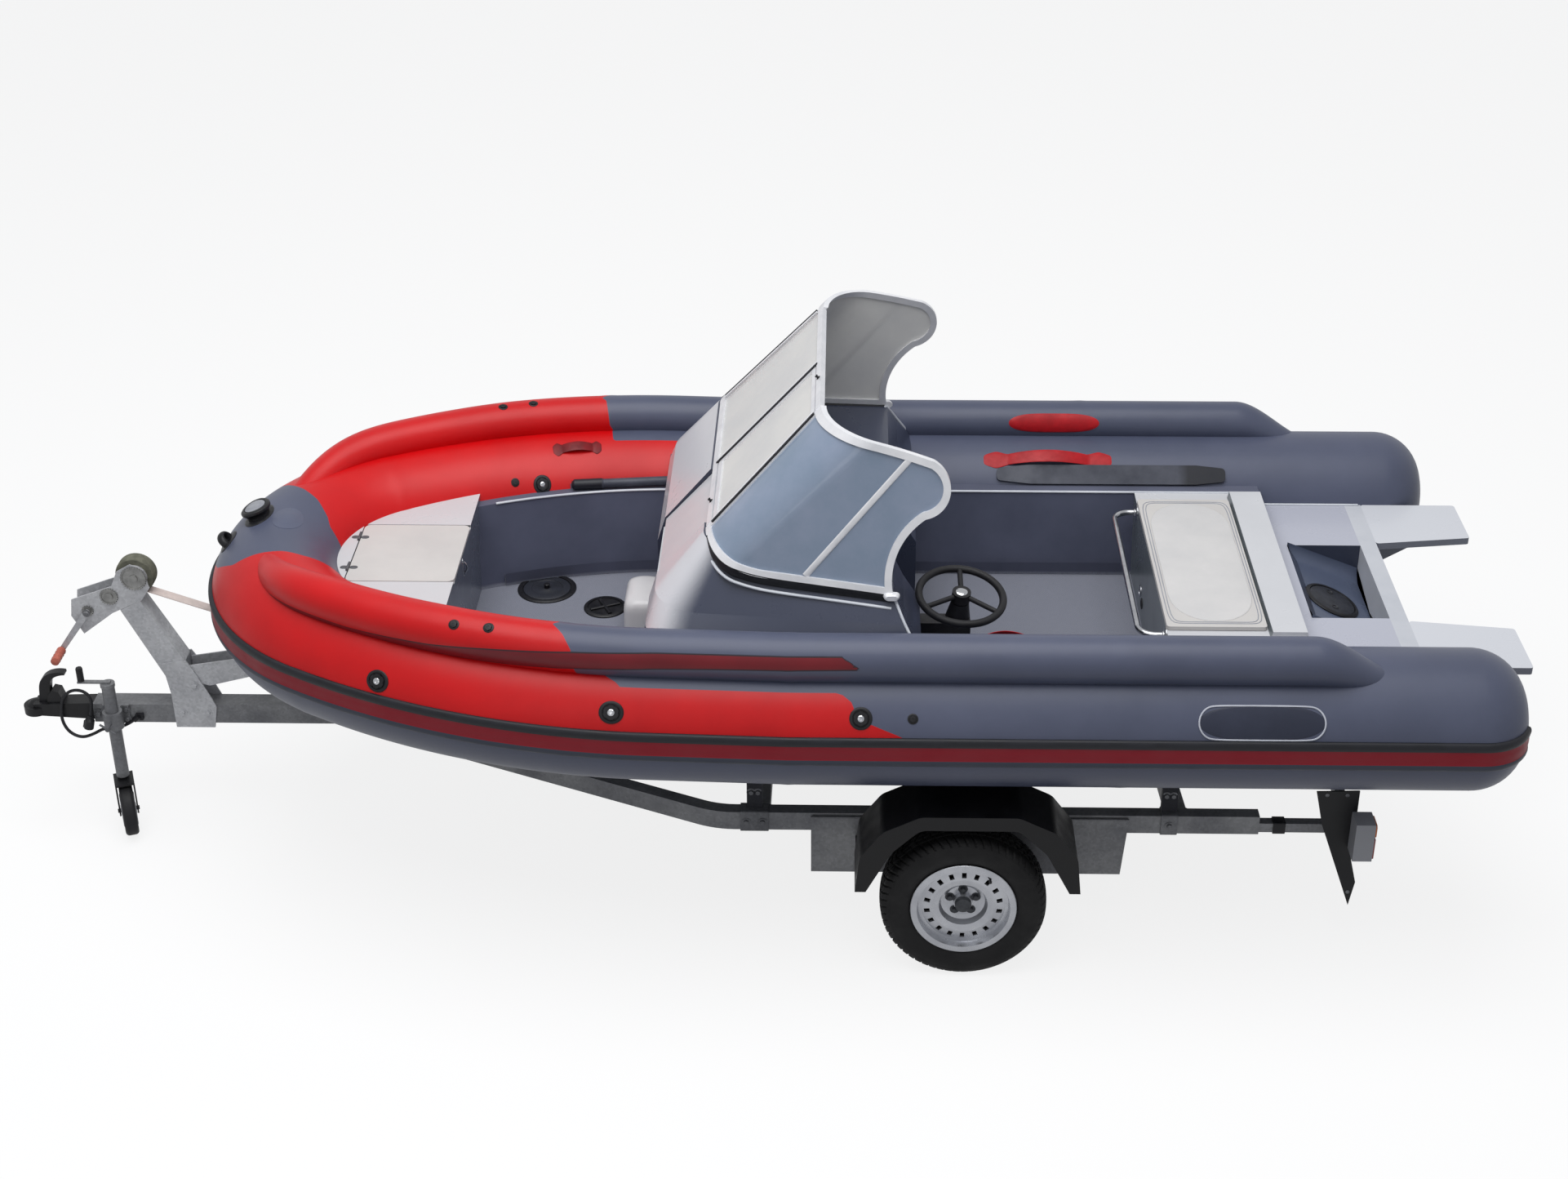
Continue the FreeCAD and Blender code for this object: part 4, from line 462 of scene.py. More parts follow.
bulwark_r = along_bulwark([0.050, 0.066, 0.078, 0.081], 0.040)
bulwark_out = along_bulwark([0.028, 0.055, 0.072, 0.077], 0.055)
bulwark_up = along_bulwark([0.172, 0.222, 0.250, 0.263], 0.158)
bulwark_v = np.linspace(-180, 180, 65)
# painted shade: the red flash on the down-turned outer face is painted dark red, its 5 mm border black as shadow
bulwark_cloth = coated_cloth("bulwark_cloth", [
    ("red_panel", red_a, red_b), ("flash_shadow_edge", paint(26, 22, 30), paint(36, 28, 36)),
    ("flash", paint(120, 22, 32), paint(98, 16, 26))])
for side, hand in (("port", 1), ("starboard", -1)):
    u, v = np.meshgrid(bulwark_u, bulwark_v, indexing="ij")
    shape = [np.broadcast_to(value[:, None], u.shape) for value in (bulwark_out, bulwark_up, bulwark_r)]
    lift = seam_lift(u, [1.51, 2.25, 3.35])
    grid = collar_point(hand * u, v, shape[0], shape[1], shape[2] + lift)
    ends = [np.repeat(grid[i].mean(0)[None, None], len(bulwark_v), 1) for i in (0, -1)]
    grid = np.concatenate([ends[0], grid, ends[1]])
    u, v = (np.concatenate([a[:1], a, a[-1:]]) for a in (u, v))
    red = np.interp(v, [-180, -90, 26, 60, 93, 107, 180], [1.51, 1.58, 1.56, 1.53, 1.485, 1.50, 1.51]) - u
    flash_top = np.interp(u, [0.47, 0.8, 1.1, 1.3, 1.56, 1.81, 2.5], [-20, -28, -15, 2.5, 19.5, 29, 30.5])
    flash_low = np.interp(u, [0.47, 0.8, 1.1, 1.3, 1.56, 1.81, 2.0, 2.5], [-50, -58, -54, -40, -21, -7.5, -3, 3])
    flash = np.minimum(np.minimum(flash_top - v, v - flash_low) * 0.081 * np.pi / 180,
                       np.minimum(2.43 + (30 - v) * 0.002 - u, u - 0.42))
    piece = skin("bulwark_" + side, [grid], [bulwark_cloth], "boat_and_trailer",
                 uvs=[np.stack([u, v * 0.081 * np.pi / 180], -1)],
                 fields={"red_panel": [red], "flash_shadow_edge": [flash + 0.005], "flash": [flash]})
    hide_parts("bulwark_tube_" + side)


# ---- rub strake -----------------------------------------------------------------------
# An extruded rubber band glued round the collar's widest line: a black bead on top, a dark
# red flat in the middle and a grey bead below.  It runs round the bow and both stern ends.
strake_angle = np.array([-13.0, -12.6, -11.8, -10.4, -8.8, -7.2, -6.4, -5.6, -2.0, 2.0, 5.2, 5.8, 6.6, 8.2, 9.8,
                         11.4, 12.4, 12.9, 13.2, 13.2, -13.0])
strake_rise = np.array([0.0, 4.5, 7.8, 9.6, 9.8, 8.6, 6.6, 5.6, 5.9, 5.9, 5.6, 6.8, 9.6, 11.6, 12.0,
                        11.2, 8.6, 5.0, 0.0, -3.0, -3.0]) / 1000
wrap_turn = np.radians(68)
wrap_len = dome_r * wrap_turn
band_u = np.linspace(stern_u + wrap_len, -stern_u - wrap_len, 461)
past = np.clip(np.abs(band_u) - stern_u, 0, None) / dome_r
held = np.clip(band_u, -stern_u, stern_u)
band = collar_point(held[:, None], strake_angle[None], 0.0, 0.0, tube_r + strake_rise[None])
pivot_x = stern_x + dome_r
pivot_y = half_beam + tube_r - dome_r
# round the stern ends the section turns about an upright line at the dome's shoulder
from_pivot = np.abs(band[..., 1]) - pivot_y
turned_x = pivot_x - from_pivot * np.sin(past)[:, None]
turned_y = np.sign(band[..., 1]) * (pivot_y + from_pivot * np.cos(past)[:, None])
wrapping = (past > 0)[:, None]
wrapped = np.stack([np.where(wrapping, turned_x, band[..., 0]), np.where(wrapping, turned_y, band[..., 1]),
                    band[..., 2]], -1)
caps = [np.repeat(wrapped[i].mean(0)[None, None], len(strake_angle), 1) for i in (0, -1)]
strake_grid = np.concatenate([caps[0], wrapped, caps[1]])
strake_u = np.concatenate([band_u[:1], band_u, band_u[-1:]])
strake_uv = np.stack(np.meshgrid(strake_u, strake_angle, indexing="ij"), -1)
strake_rubber = finish("strake_rubber", paint(24, 25, 30), paint(34, 35, 41), 0.12, (0.4, 0.58), 0.003, 0.0002)
strake_wrap = wired(strake_rubber, "ShaderNodeUVMap", {}, uv_map="UVMap")
strake_axes = wired(strake_rubber, "ShaderNodeSeparateXYZ", {"Vector": (strake_wrap, "UV")})
lower_band = wired(strake_rubber, "ShaderNodeMath", {0: (strake_axes, "Y"), 1: 5.5}, operation="LESS_THAN")
below_flat = wired(strake_rubber, "ShaderNodeMath", {0: (strake_axes, "Y"), 1: -6.6}, operation="LESS_THAN")
band_red = wired(strake_rubber, "ShaderNodeMix", {
    "Factor": (lower_band, "Value"), "A": (strake_rubber.node_tree.nodes["colour"], "Result"),
    "B": paint(128, 20, 34)}, data_type="RGBA")
band_grey = wired(strake_rubber, "ShaderNodeMix", {
    "Factor": (below_flat, "Value"), "A": (band_red, "Result"), "B": paint(52, 56, 68)}, data_type="RGBA")
strake_rubber.node_tree.links.new(band_grey.outputs["Result"],
                                  strake_rubber.node_tree.nodes["Principled BSDF"].inputs["Base Color"])
strake = skin("rub_band", [strake_grid], [strake_rubber], "boat_and_trailer", uvs=[strake_uv])
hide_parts("rub_strake")


# ---- inflation valves -----------------------------------------------------------------
# Black moulded valves set in the collar's skin: a wide flange, a ring groove and a screw
# cap with six finger notches.  Each big one on the outer face shows a bright steel centre.
def on_tube(u, angle, shape, out=0.0, up=0.0, radius=tube_r):
    """Lays local points (along, across, height) on a tube at a place on it: along the centre line,
    across as arc length round the section, height off the skin."""
    return collar_point(u + shape[..., 0], angle + np.degrees(shape[..., 1] / radius), out, up,
                        radius + shape[..., 2])


def turning(profile, steps=48, notch=0.0, lobes=6):
    """A profile of (radius, height) rows turned once round; the notch cuts shallow scallops, a
    squared cosine deep, as many as there are lobes."""
    radius, height = np.array(profile, float).T
    turn = np.linspace(0, 2 * np.pi, steps + 1)
    wide = radius[:, None] * (1 - notch * np.clip(np.cos(lobes * turn), 0, 1)[None] ** 2)
    return np.stack([wide * np.cos(turn), wide * np.sin(turn), np.broadcast_to(height[:, None], wide.shape)], -1)


valve_black = finish("valve_plastic", paint(18, 18, 21), paint(28, 28, 32), 0.03, (0.3, 0.5), 0.0008, 0.0001)
steel_bright = finish("polished_steel", paint(196, 197, 200), paint(168, 170, 176), 0.05, (0.12, 0.24), 0.0015, 0.00002,
                      Metallic=1.0)
flange = turning([(0, -0.002), (0.0375, -0.002), (0.0375, 0.0015), (0.0362, 0.003), (0.033, 0.0036), (0.0285, 0.0036),
                  (0.0275, 0.0018), (0.0262, 0.0018), (0.0255, 0.004), (0.0255, 0.001), (0, 0.001)])
cap = turning([(0, 0), (0.0248, 0), (0.0248, 0.006), (0.0236, 0.0076), (0.016, 0.0082), (0.012, 0.007), (0, 0.007)],
              notch=0.12)
stud = turning([(0, 0.004), (0.0105, 0.004), (0.0105, 0.0084), (0.0088, 0.0096), (0.005, 0.0098), (0.004, 0.0088),
                (0, 0.0088)], steps=32)
small_flange = turning([(0, -0.001), (0.0175, -0.001), (0.0175, 0.001), (0.016, 0.0022), (0.0125, 0.0022),
                        (0.012, 0.001), (0, 0.001)], steps=36)
small_cap = turning([(0, 0), (0.0112, 0), (0.0112, 0.005), (0.0102, 0.006), (0.004, 0.0062), (0.003, 0.0052),
                     (0, 0.0052)], steps=36, notch=0.14)
for hand, side in ((1, "port"), (-1, "starboard")):
    for number, (u, angle) in enumerate(((0.951, 24.0), (1.689, 28.0), (2.489, 28.5))):
        skin("valve_%s_%d" % (side, number + 1), [on_tube(hand * u, angle, part) for part in (flange, cap, stud)],
             [valve_black, steel_bright], "boat_and_trailer", which=[0, 0, 1])
    skin("relief_valve_" + side, [on_tube(hand * 2.657, 28.5, part) for part in (small_flange, small_cap)],
         [valve_black], "boat_and_trailer")
skin("inner_valve", [on_tube(-1.212, 149.0, part) for part in (flange, cap, stud)], [valve_black, steel_bright],
     "boat_and_trailer", which=[0, 0, 1])
skin("inner_relief_valve", [on_tube(-1.099, 144.5, part) for part in (small_flange, small_cap)], [valve_black],
     "boat_and_trailer")
for number, (u, angle) in enumerate(((1.182, 48.5), (1.294, 55.0), (-1.109, 103.0), (-1.224, 102.0))):
    place = [np.interp(abs(u), bulwark_u, run) for run in (bulwark_out, bulwark_up, bulwark_r)]
    skin("bulwark_valve_%d" % (number + 1),
         [on_tube(u, angle, part, *place) for part in (small_flange, small_cap)], [valve_black], "boat_and_trailer")


# ---- bow fittings ---------------------------------------------------------------------
# A black moulded mooring post with a mushroom head on the nose patch, its top painted light
# grey as a highlight, a smaller eye ahead of it, and a round reinforcing patch behind them,
# all bonded to the fabric.
def oval(grid, long, wide):
    """A turned shape stretched along and across the tube."""
    return grid * np.array([long, wide, 1.0])


post_pad = oval(turning([(0, -0.003), (0.05, -0.003), (0.05, 0.001), (0.046, 0.004), (0.038, 0.0055), (0.0, 0.0055)]),
                1.5, 1.05)
post_head = oval(turning([(0, 0.003), (0.040, 0.003), (0.039, 0.010), (0.040, 0.018), (0.045, 0.024), (0.048, 0.030),
                          (0.047, 0.037), (0.042, 0.041), (0.036, 0.041), (0.033, 0.037), (0.0, 0.037)]), 1.2, 1.0)
post_top = oval(turning([(0, 0.036), (0.032, 0.036), (0.032, 0.040), (0.028, 0.043), (0.0, 0.044)]), 1.2, 1.0)
# painted highlight: the black post's top is coloured light grey
post_top_highlight = finish("post_top_painted_highlight", paint(150, 152, 158), paint(132, 134, 141), 0.03, (0.3, 0.45), 0.001, 0.0002)
skin("mooring_post", [on_tube(-0.034, 71.0, part) for part in (post_pad, post_head, post_top)],
     [valve_black, post_top_highlight], "boat_and_trailer", which=[0, 0, 1])
eye_turn = np.linspace(0, np.pi, 33)[:, None]
eye_section = np.linspace(0, 2 * np.pi, 17)[None]
eye_arch = np.stack([(0.020 + 0.0085 * np.cos(eye_section)) * np.cos(eye_turn),
                     np.broadcast_to(0.012 * np.sin(eye_section), (33, 17)),
                     0.002 + (0.026 + 0.0085 * np.cos(eye_section)) * np.sin(eye_turn)], -1)
eye_ring = np.concatenate([np.repeat(eye_arch[:1].mean(1, keepdims=True), 17, 1), eye_arch,
                           np.repeat(eye_arch[-1:].mean(1, keepdims=True), 17, 1)])
eye_pad = turning([(0, -0.002), (0.038, -0.002), (0.038, 0.001), (0.034, 0.003), (0.0, 0.004)])
skin("bow_eye", [on_tube(0.036, 42.0, part * 1.15) for part in (eye_pad, eye_ring)], [valve_black],
     "boat_and_trailer")
patch_cloth = finish("patch_cloth", paint(80, 85, 104), paint(90, 95, 114), 0.3, (0.36, 0.46), 0.003, 0.0001)
round_patch = turning([(0, -0.001), (0.062, -0.001), (0.062, 0.0006), (0.059, 0.0014), (0.040, 0.0014),
                       (0.038, 0.0022), (0, 0.0022)], steps=64)
skin("nose_reinforcement", [on_tube(-0.002, 99.0, oval(round_patch, 1.35, 0.9))], [patch_cloth], "boat_and_trailer")


# ---- carry handles and cloth patches --------------------------------------------------
# Carry handles of moulded rubber strap: two feathered end pads bonded to the tube, with a
# loop of strap lifted between them.  On the port stern tube is a dark cloth plate, left
# blank, with pale piping welded round it.
def strap_loop(length, width, lift, thick=0.004):
    """A strap along the tube: its underside rises as a cosine arch over the middle 62 % of its
    length, its width grows to the end pads and its ends are feathered by a square root."""
    run = np.linspace(-0.5, 0.5, 61)[:, None]
    turn = np.linspace(0, 2 * np.pi, 25)[None]
    rise = lift * np.clip(np.cos(np.pi * np.clip(run / 0.62, -0.5, 0.5)), 0, 1) ** 0.8
    end = np.clip((0.5 - np.abs(run)) / 0.12, 0, 1) ** 0.5
    half = (0.5 + 0.35 * np.clip((np.abs(run) - 0.30) / 0.1, 0, 1)) * width * (0.25 + 0.75 * end)
    squarish = np.sign(np.cos(turn)) * np.abs(np.cos(turn)) ** 0.45
    height = rise + thick * end * (0.5 + 0.5 * np.sign(np.sin(turn)) * np.abs(np.sin(turn)) ** 0.6) - 0.0008
    return np.stack(np.broadcast_arrays(run * length, half * squarish, height), -1)


def capped(grid):
    """Closes a grid's two open ends at their middles."""
    return np.concatenate([np.repeat(grid[:1].mean(1, keepdims=True), grid.shape[1], 1), grid,
                           np.repeat(grid[-1:].mean(1, keepdims=True), grid.shape[1], 1)])


def pill(length, width, thick, edge=0.006, power=2.0, steps=96):
    """A flat pad with rounded ends: a circle of its width, the halves drawn apart by the rest of its
    length times a root of the cosine, scaled from the middle out and in again over a soft edge."""
    turn = np.linspace(0, 2 * np.pi, steps + 1)
    straight = (length - width) / 2
    rim_x = np.cos(turn) * width / 2 + np.sign(np.cos(turn)) * straight * np.abs(np.cos(turn)) ** (1 / power)
    rim_y = np.sin(turn) * width / 2
    inner = 1 - 2 * edge / width
    rows = [(0.0, -0.001), (1.0, -0.001), (1.0, thick * 0.3), ((1 + inner) / 2, thick * 0.85), (inner, thick),
            (0.0, thick)]
    return np.stack([np.stack([rim_x * share, rim_y * share, np.full_like(rim_x, height)], -1)
                     for share, height in rows])


strap_red = finish("strap_rubber_red", paint(176, 18, 28), paint(150, 12, 22), 0.05, (0.35, 0.5), 0.0012, 0.0002)
strap_dark = finish("strap_rubber_dark", paint(120, 12, 20), paint(92, 8, 16), 0.05, (0.35, 0.5), 0.0012, 0.0002)
skin("carry_handle_aft", [on_tube(-3.215, 124.0, capped(strap_loop(0.50, 0.046, 0.034)))], [strap_red],
     "boat_and_trailer")
skin("carry_handle_forward", [on_tube(-1.373, 115.0, capped(strap_loop(0.20, 0.040, 0.016)))], [strap_dark],
     "boat_and_trailer")
bulwark_seat = [0.077, 0.263, 0.081]
skin("starboard_pad", [on_tube(-3.245, 160.0, pill(0.35, 0.075, 0.004), *bulwark_seat)], [strap_red],
     "boat_and_trailer")
inner_handle = capped(strap_loop(0.24, 0.036, 0.020))
skin("port_handle", [on_tube(2.96, 160.0, inner_handle, *bulwark_seat)], [strap_red], "boat_and_trailer")
plate_u = curved_len + bend_x - axle_x + 0.930
plate_cloth = finish("plate_cloth", paint(48, 52, 68), paint(40, 44, 59), 0.2, (0.36, 0.46), 0.003, 0.0001)
piping_pale = finish("piping_pale", paint(196, 199, 208), paint(176, 179, 190), 0.1, (0.35, 0.5), 0.003, 0.0001)
skin("blank_plate", [on_tube(plate_u, 27.5, pill(0.405, 0.112, 0.0022))], [plate_cloth], "boat_and_trailer")
# the piping's line is two half circles of 56 mm joined by straights, its section an oval
piping_turn = np.linspace(0, 2 * np.pi, 121)
piping_section = np.linspace(0, 2 * np.pi, 9)[:, None]
piping_r = 0.056 + 0.0028 * np.cos(piping_section)
piping = np.stack([piping_r * np.cos(piping_turn) + 0.1465 * np.tanh(6 * np.cos(piping_turn)),
                   piping_r * np.sin(piping_turn),
                   0.0022 + 0.0020 * np.sin(piping_section) + 0 * piping_turn], -1)
skin("plate_piping", [on_tube(plate_u, 27.5, piping)], [piping_pale], "boat_and_trailer")


# ---- stowed oars ----------------------------------------------------------------------
# Two oars lie along the starboard tube: grey aluminium shafts with black rubber grips and
# dark grey moulded blades; the aftmost blade's end is painted near black as shade.
oar_grey = finish("oar_plastic", paint(70, 73, 84), paint(52, 55, 66), 0.12, (0.3, 0.5), 0.002, 0.0002)
oar_place = object_place(oar_grey)
oar_axes = wired(oar_grey, "ShaderNodeSeparateXYZ", {"Vector": (oar_place, "Object")})
on_grip = wired(oar_grey, "ShaderNodeMath", {0: (oar_axes, "X"), 1: axle_x + 1.343}, operation="GREATER_THAN")
# painted shade: the blade's aft end goes near black, the same colour as the real black grips
blade_tip_shade = wired(oar_grey, "ShaderNodeMapRange", {
    "Value": (oar_axes, "X"), "From Min": axle_x - 0.86, "From Max": axle_x - 0.90})
grip_and_tip_shade = wired(oar_grey, "ShaderNodeMath", {0: (on_grip, "Value"), 1: (blade_tip_shade, "Result")}, operation="MAXIMUM")
oar_grip_and_shade = wired(oar_grey, "ShaderNodeMix", {
    "Factor": (grip_and_tip_shade, "Value"), "A": (oar_grey.node_tree.nodes["colour"], "Result"), "B": paint(26, 28, 36)},
    data_type="RGBA")
oar_grey.node_tree.links.new(oar_grip_and_shade.outputs["Result"],
                             oar_grey.node_tree.nodes["Principled BSDF"].inputs["Base Color"])
dress(oar_grey, "oars")


# ---- cockpit trim ---------------------------------------------------------------------
# A pale half-round welt covers the joint where the liner meets the collar.  A fillet of
# filler softens the corner between the sides and the floor, and the floor has two round
# screw-down hatches of black plastic.
def ring(width, height, count=16):
    """A closed oval section, as (side, up) points."""
    turn = np.linspace(0, 2 * np.pi, count + 1)
    return np.stack([width / 2 * np.cos(turn), height / 2 * np.sin(turn)], -1)


def eased(points, rounds=3):
    """A line with its corners cut again and again until it is smooth; its ends stay."""
    line = np.array(points, float)
    for _ in range(rounds):
        near = line[:-1] * 0.75 + line[1:] * 0.25
        far = line[:-1] * 0.25 + line[1:] * 0.75
        line = np.concatenate([line[:1], np.stack([near, far], 1).reshape(-1, 3)[1:-1], line[-1:]])
    return line


def bead(points, section, up=(0.0, 0.0, 1.0)):
    """A section of (side, up) points swept along a line and closed at its ends."""
    line = np.array(points, float)
    ahead = np.gradient(line, axis=0)
    ahead /= np.linalg.norm(ahead, axis=1, keepdims=True)
    side = np.cross(ahead, np.broadcast_to(np.array(up, float), line.shape))
    side /= np.linalg.norm(side, axis=1, keepdims=True)
    above = np.cross(side, ahead)
    return capped(line[:, None] + side[:, None] * section[None, :, :1] + above[:, None] * section[None, :, 1:])


def placed(grid, origin, normal=(0.0, 0.0, 1.0), along=None):
    """Sets local points on a flat seat: third axis along the normal, first one along the given
    direction made square to it, or along X, and along Y where the normal itself is X."""
    high = np.array(normal, float) / np.linalg.norm(normal)
    if along is None:
        along = (0.0, 1.0, 0.0) if abs(high[0]) > 0.99 else (1.0, 0.0, 0.0)
    first = np.array(along, float) - np.dot(along, high) * high
    first /= np.linalg.norm(first)
    second = np.cross(high, first)
    return np.array(origin, float) + grid[..., :1] * first + grid[..., 1:2] * second + grid[..., 2:] * high


trim_pale = finish("trim_pale", paint(205, 208, 214), paint(186, 190, 198), 0.2, (0.3, 0.5), 0.004, 0.0002)
rim_u = np.linspace(1.0, 4.4, 400)
floor_top = 0.8005
# hollow quarter round: the wall leans out 67 mm in its height of 320 mm
bow = np.linspace(0, np.pi / 2, 9)
hollow = 0.055 * np.stack([-1 + np.sin(bow), 1 - np.cos(bow)], -1)
hollow[:, 0] += hollow[:, 1] * 0.21
for hand, side in ((1, "port"), (-1, "starboard")):
    edge = collar_point(hand * rim_u, 0.0, -0.262, 0.0, 0.0)
    edge[:, 2] = 1.1205
    forward = edge[(edge[:, 0] < axle_x + 1.793) & (edge[:, 0] > axle_x + 1.092)]
    behind = edge[(edge[:, 0] < axle_x + 0.152) & (edge[:, 0] > axle_x - 1.158)]
    skin("liner_welt_" + side, [bead(forward[::4], ring(0.011, 0.009)), bead(behind[::6], ring(0.011, 0.009))],
         [trim_pale], "boat_and_trailer")
    fillet = np.concatenate([hollow, [[0.004, -0.002], [-0.055, -0.002]], hollow[:1]]) * np.array([-hand, 1.0])
    foot = collar_point(hand * rim_u, 0.0, -0.329, 0.0, 0.0)
    foot[:, 2] = floor_top
    foot = foot[(foot[:, 0] < axle_x + 1.795) & (foot[:, 0] > axle_x - 0.684)]
    skin("floor_fillet_" + side, [bead(foot[::5], fillet)], [liner_flock], "boat_and_trailer", crisp=50.0)
hatch_rim = turning([(0, -0.002), (0.112, -0.002), (0.112, 0.004), (0.108, 0.007), (0.098, 0.008), (0.092, 0.0065),
                     (0.0915, 0.002), (0.0, 0.002)], steps=72)
hatch_disc = turning([(0, 0), (0.0895, 0), (0.0895, 0.005), (0.086, 0.007), (0.060, 0.007), (0.058, 0.0045),
                      (0.022, 0.0045), (0.020, 0.006), (0, 0.0065)], steps=72)
hatch_knob = turning([(0, 0.004), (0.011, 0.004), (0.010, 0.016), (0.012, 0.021), (0.009, 0.024), (0, 0.0245)],
                     steps=24, notch=0.1)
disc_grey = finish("hatch_disc_plastic", paint(44, 46, 54), paint(34, 36, 42), 0.04, (0.35, 0.5), 0.001, 0.0002)
skin("floor_hatch_large",
     [placed(part, (axle_x + 1.550, -0.350, floor_top)) for part in (hatch_rim, hatch_disc, hatch_knob)],
     [valve_black, disc_grey], "boat_and_trailer", which=[0, 1, 0])
small_rim = turning([(0, -0.002), (0.080, -0.002), (0.080, 0.004), (0.077, 0.007), (0.066, 0.008), (0.064, 0.003),
                     (0.0, 0.003)], steps=60)
small_place = (axle_x + 1.315, -0.210, floor_top)
cross_rib = bead([(x, 0.0, 0.006) for x in np.linspace(-0.058, 0.058, 9)], ring(0.014, 0.010))
cross_ribs = [placed(cross_rib, small_place, along=(np.cos(bearing), np.sin(bearing), 0.0))
              for bearing in np.radians([25.0, 115.0])]
skin("floor_hatch_small", [placed(small_rim, small_place)] + cross_ribs, [valve_black], "boat_and_trailer")


# ---- bow locker -----------------------------------------------------------------------
# A smooth off-white gelcoat deck with a hatch.  Its lid closes on a black rubber seal and
# turns on two small grey hinges at the front.  A pull latch sits on the bulkhead, whose
# aft face is painted dark blue-grey as shade.
hatch_gelcoat = finish("hatch_gelcoat", paint(200, 197, 194), paint(191, 188, 186), 0.4, (0.3, 0.42), 0.03, 0.00004)
dress(hatch_gelcoat, "bow_hatch_lid")


def facing_shaded(name, light, shade, axis, start, end):
    """Gelcoat with painted shade: its colour changes as the face's normal goes from one value to another on an axis, so
    faces turned one way are painted lighter or darker than the rest.
    """
    material = finish(name, light, tuple(0.95 * c for c in light[:3]) + (1.0,), 0.4, (0.24, 0.36), 0.03, 0.00004,
                      Coat_Weight=0.25, Coat_Roughness=0.15)
    turned_to = wired(material, "ShaderNodeSeparateXYZ", {"Vector": (object_place(material), "Normal")})
    share = wired(material, "ShaderNodeMapRange", {"Value": (turned_to, axis), "From Min": start, "From Max": end},
                  interpolation_type="SMOOTHSTEP")
    tint = wired(material, "ShaderNodeMix", {
        "Factor": (share, "Result"), "A": (material.node_tree.nodes["colour"], "Result"), "B": shade},
        data_type="RGBA")
    shader = material.node_tree.nodes["Principled BSDF"]
    material.node_tree.links.new(tint.outputs["Result"], shader.inputs["Base Color"])
    return material


# painted shade: faces turned aft go dark blue-grey
locker_gelcoat = facing_shaded("locker_gelcoat", paint(198, 197, 200), paint(92, 97, 110), "X", -0.6, -0.9)
dress(locker_gelcoat, "bow_locker")
seal_rubber = finish("seal_rubber", paint(24, 25, 30), paint(34, 35, 40), 0.05, (0.5, 0.7), 0.001, 0.0002)
seal_line = eased([(axle_x + x, y, 1.1405) for x, y in (
    (1.803, -0.215), (2.17, -0.215), (2.191, -0.195), (2.191, 0.195), (2.17, 0.215), (1.803, 0.215))], 3)
skin("hatch_seal", [bead(seal_line, ring(0.0036, 0.006))], [seal_rubber], "boat_and_trailer")
hinge_grey = finish("hinge_steel", paint(92, 93, 97), paint(72, 73, 77), 0.02, (0.45, 0.6), 0.001, 0.0001)
leaf = pill(0.030, 0.022, 0.0016, edge=0.002, power=8.0)
knuckle = bead([(0.0, y, 0.004) for y in np.linspace(-0.028, 0.028, 9)], ring(0.0096, 0.0096))
hinge_z = 1.1455
for number, y in enumerate((0.115, -0.115)):
    skin("hatch_hinge_%d" % (number + 1),
         [placed(leaf, (axle_x + 2.208, y, hinge_z)), placed(knuckle, (axle_x + 2.1935, y, hinge_z))],
         [hinge_grey], "boat_and_trailer")
    skin("hatch_hinge_leaf_%d" % (number + 1), [placed(leaf, (axle_x + 2.174, y, hinge_z))], [hinge_grey],
         "bow_hatch_lid")
latch_plate = pill(0.075, 0.034, 0.003, edge=0.004)
# the pull is a round bar bowed out as a parabola
pull_x, pull_turn = np.meshgrid(np.linspace(-0.022, 0.022, 15), np.linspace(0, 2 * np.pi, 17), indexing="ij")
latch_pull = capped(np.stack([pull_x, 0.004 * np.cos(pull_turn), 0.004 + 0.009 * (1 - (pull_x / 0.022) ** 2)
                              + 0.004 * np.sin(pull_turn)], -1))
skin("bow_latch", [placed(part, (axle_x + 1.7995, 0.0, 1.085), (-1.0, 0.0, 0.0), (0.0, 0.0, 1.0))
                   for part in (latch_plate, latch_pull)], [steel_bright], "boat_and_trailer")


# ---- consoles and walk-through --------------------------------------------------------
# Two moulded consoles.  Their fronts are off-white gelcoat, and their sides are painted dark
# blue-grey as shade, fading in round the corners.  Black rubber fills the joint beside the sloping lid, a pale
# extruded edging runs down the aft corners, and a small rounded seat is moulded in front.
def soft_rectangle(wide, high, corner):
    """Closed outline of a rectangle about its middle: a quarter circle at each corner in turn."""
    arc = np.linspace(0, np.pi / 2, 6)
    points = []
    for quarter, (x, y) in enumerate(((1, 1), (-1, 1), (-1, -1), (1, -1))):
        turn = arc + quarter * np.pi / 2
        points.append(np.stack([x * (wide / 2 - corner) + corner * np.cos(turn),
                                y * (high / 2 - corner) + corner * np.sin(turn)], -1))
    points.append(points[0][:1])
    return np.concatenate(points)


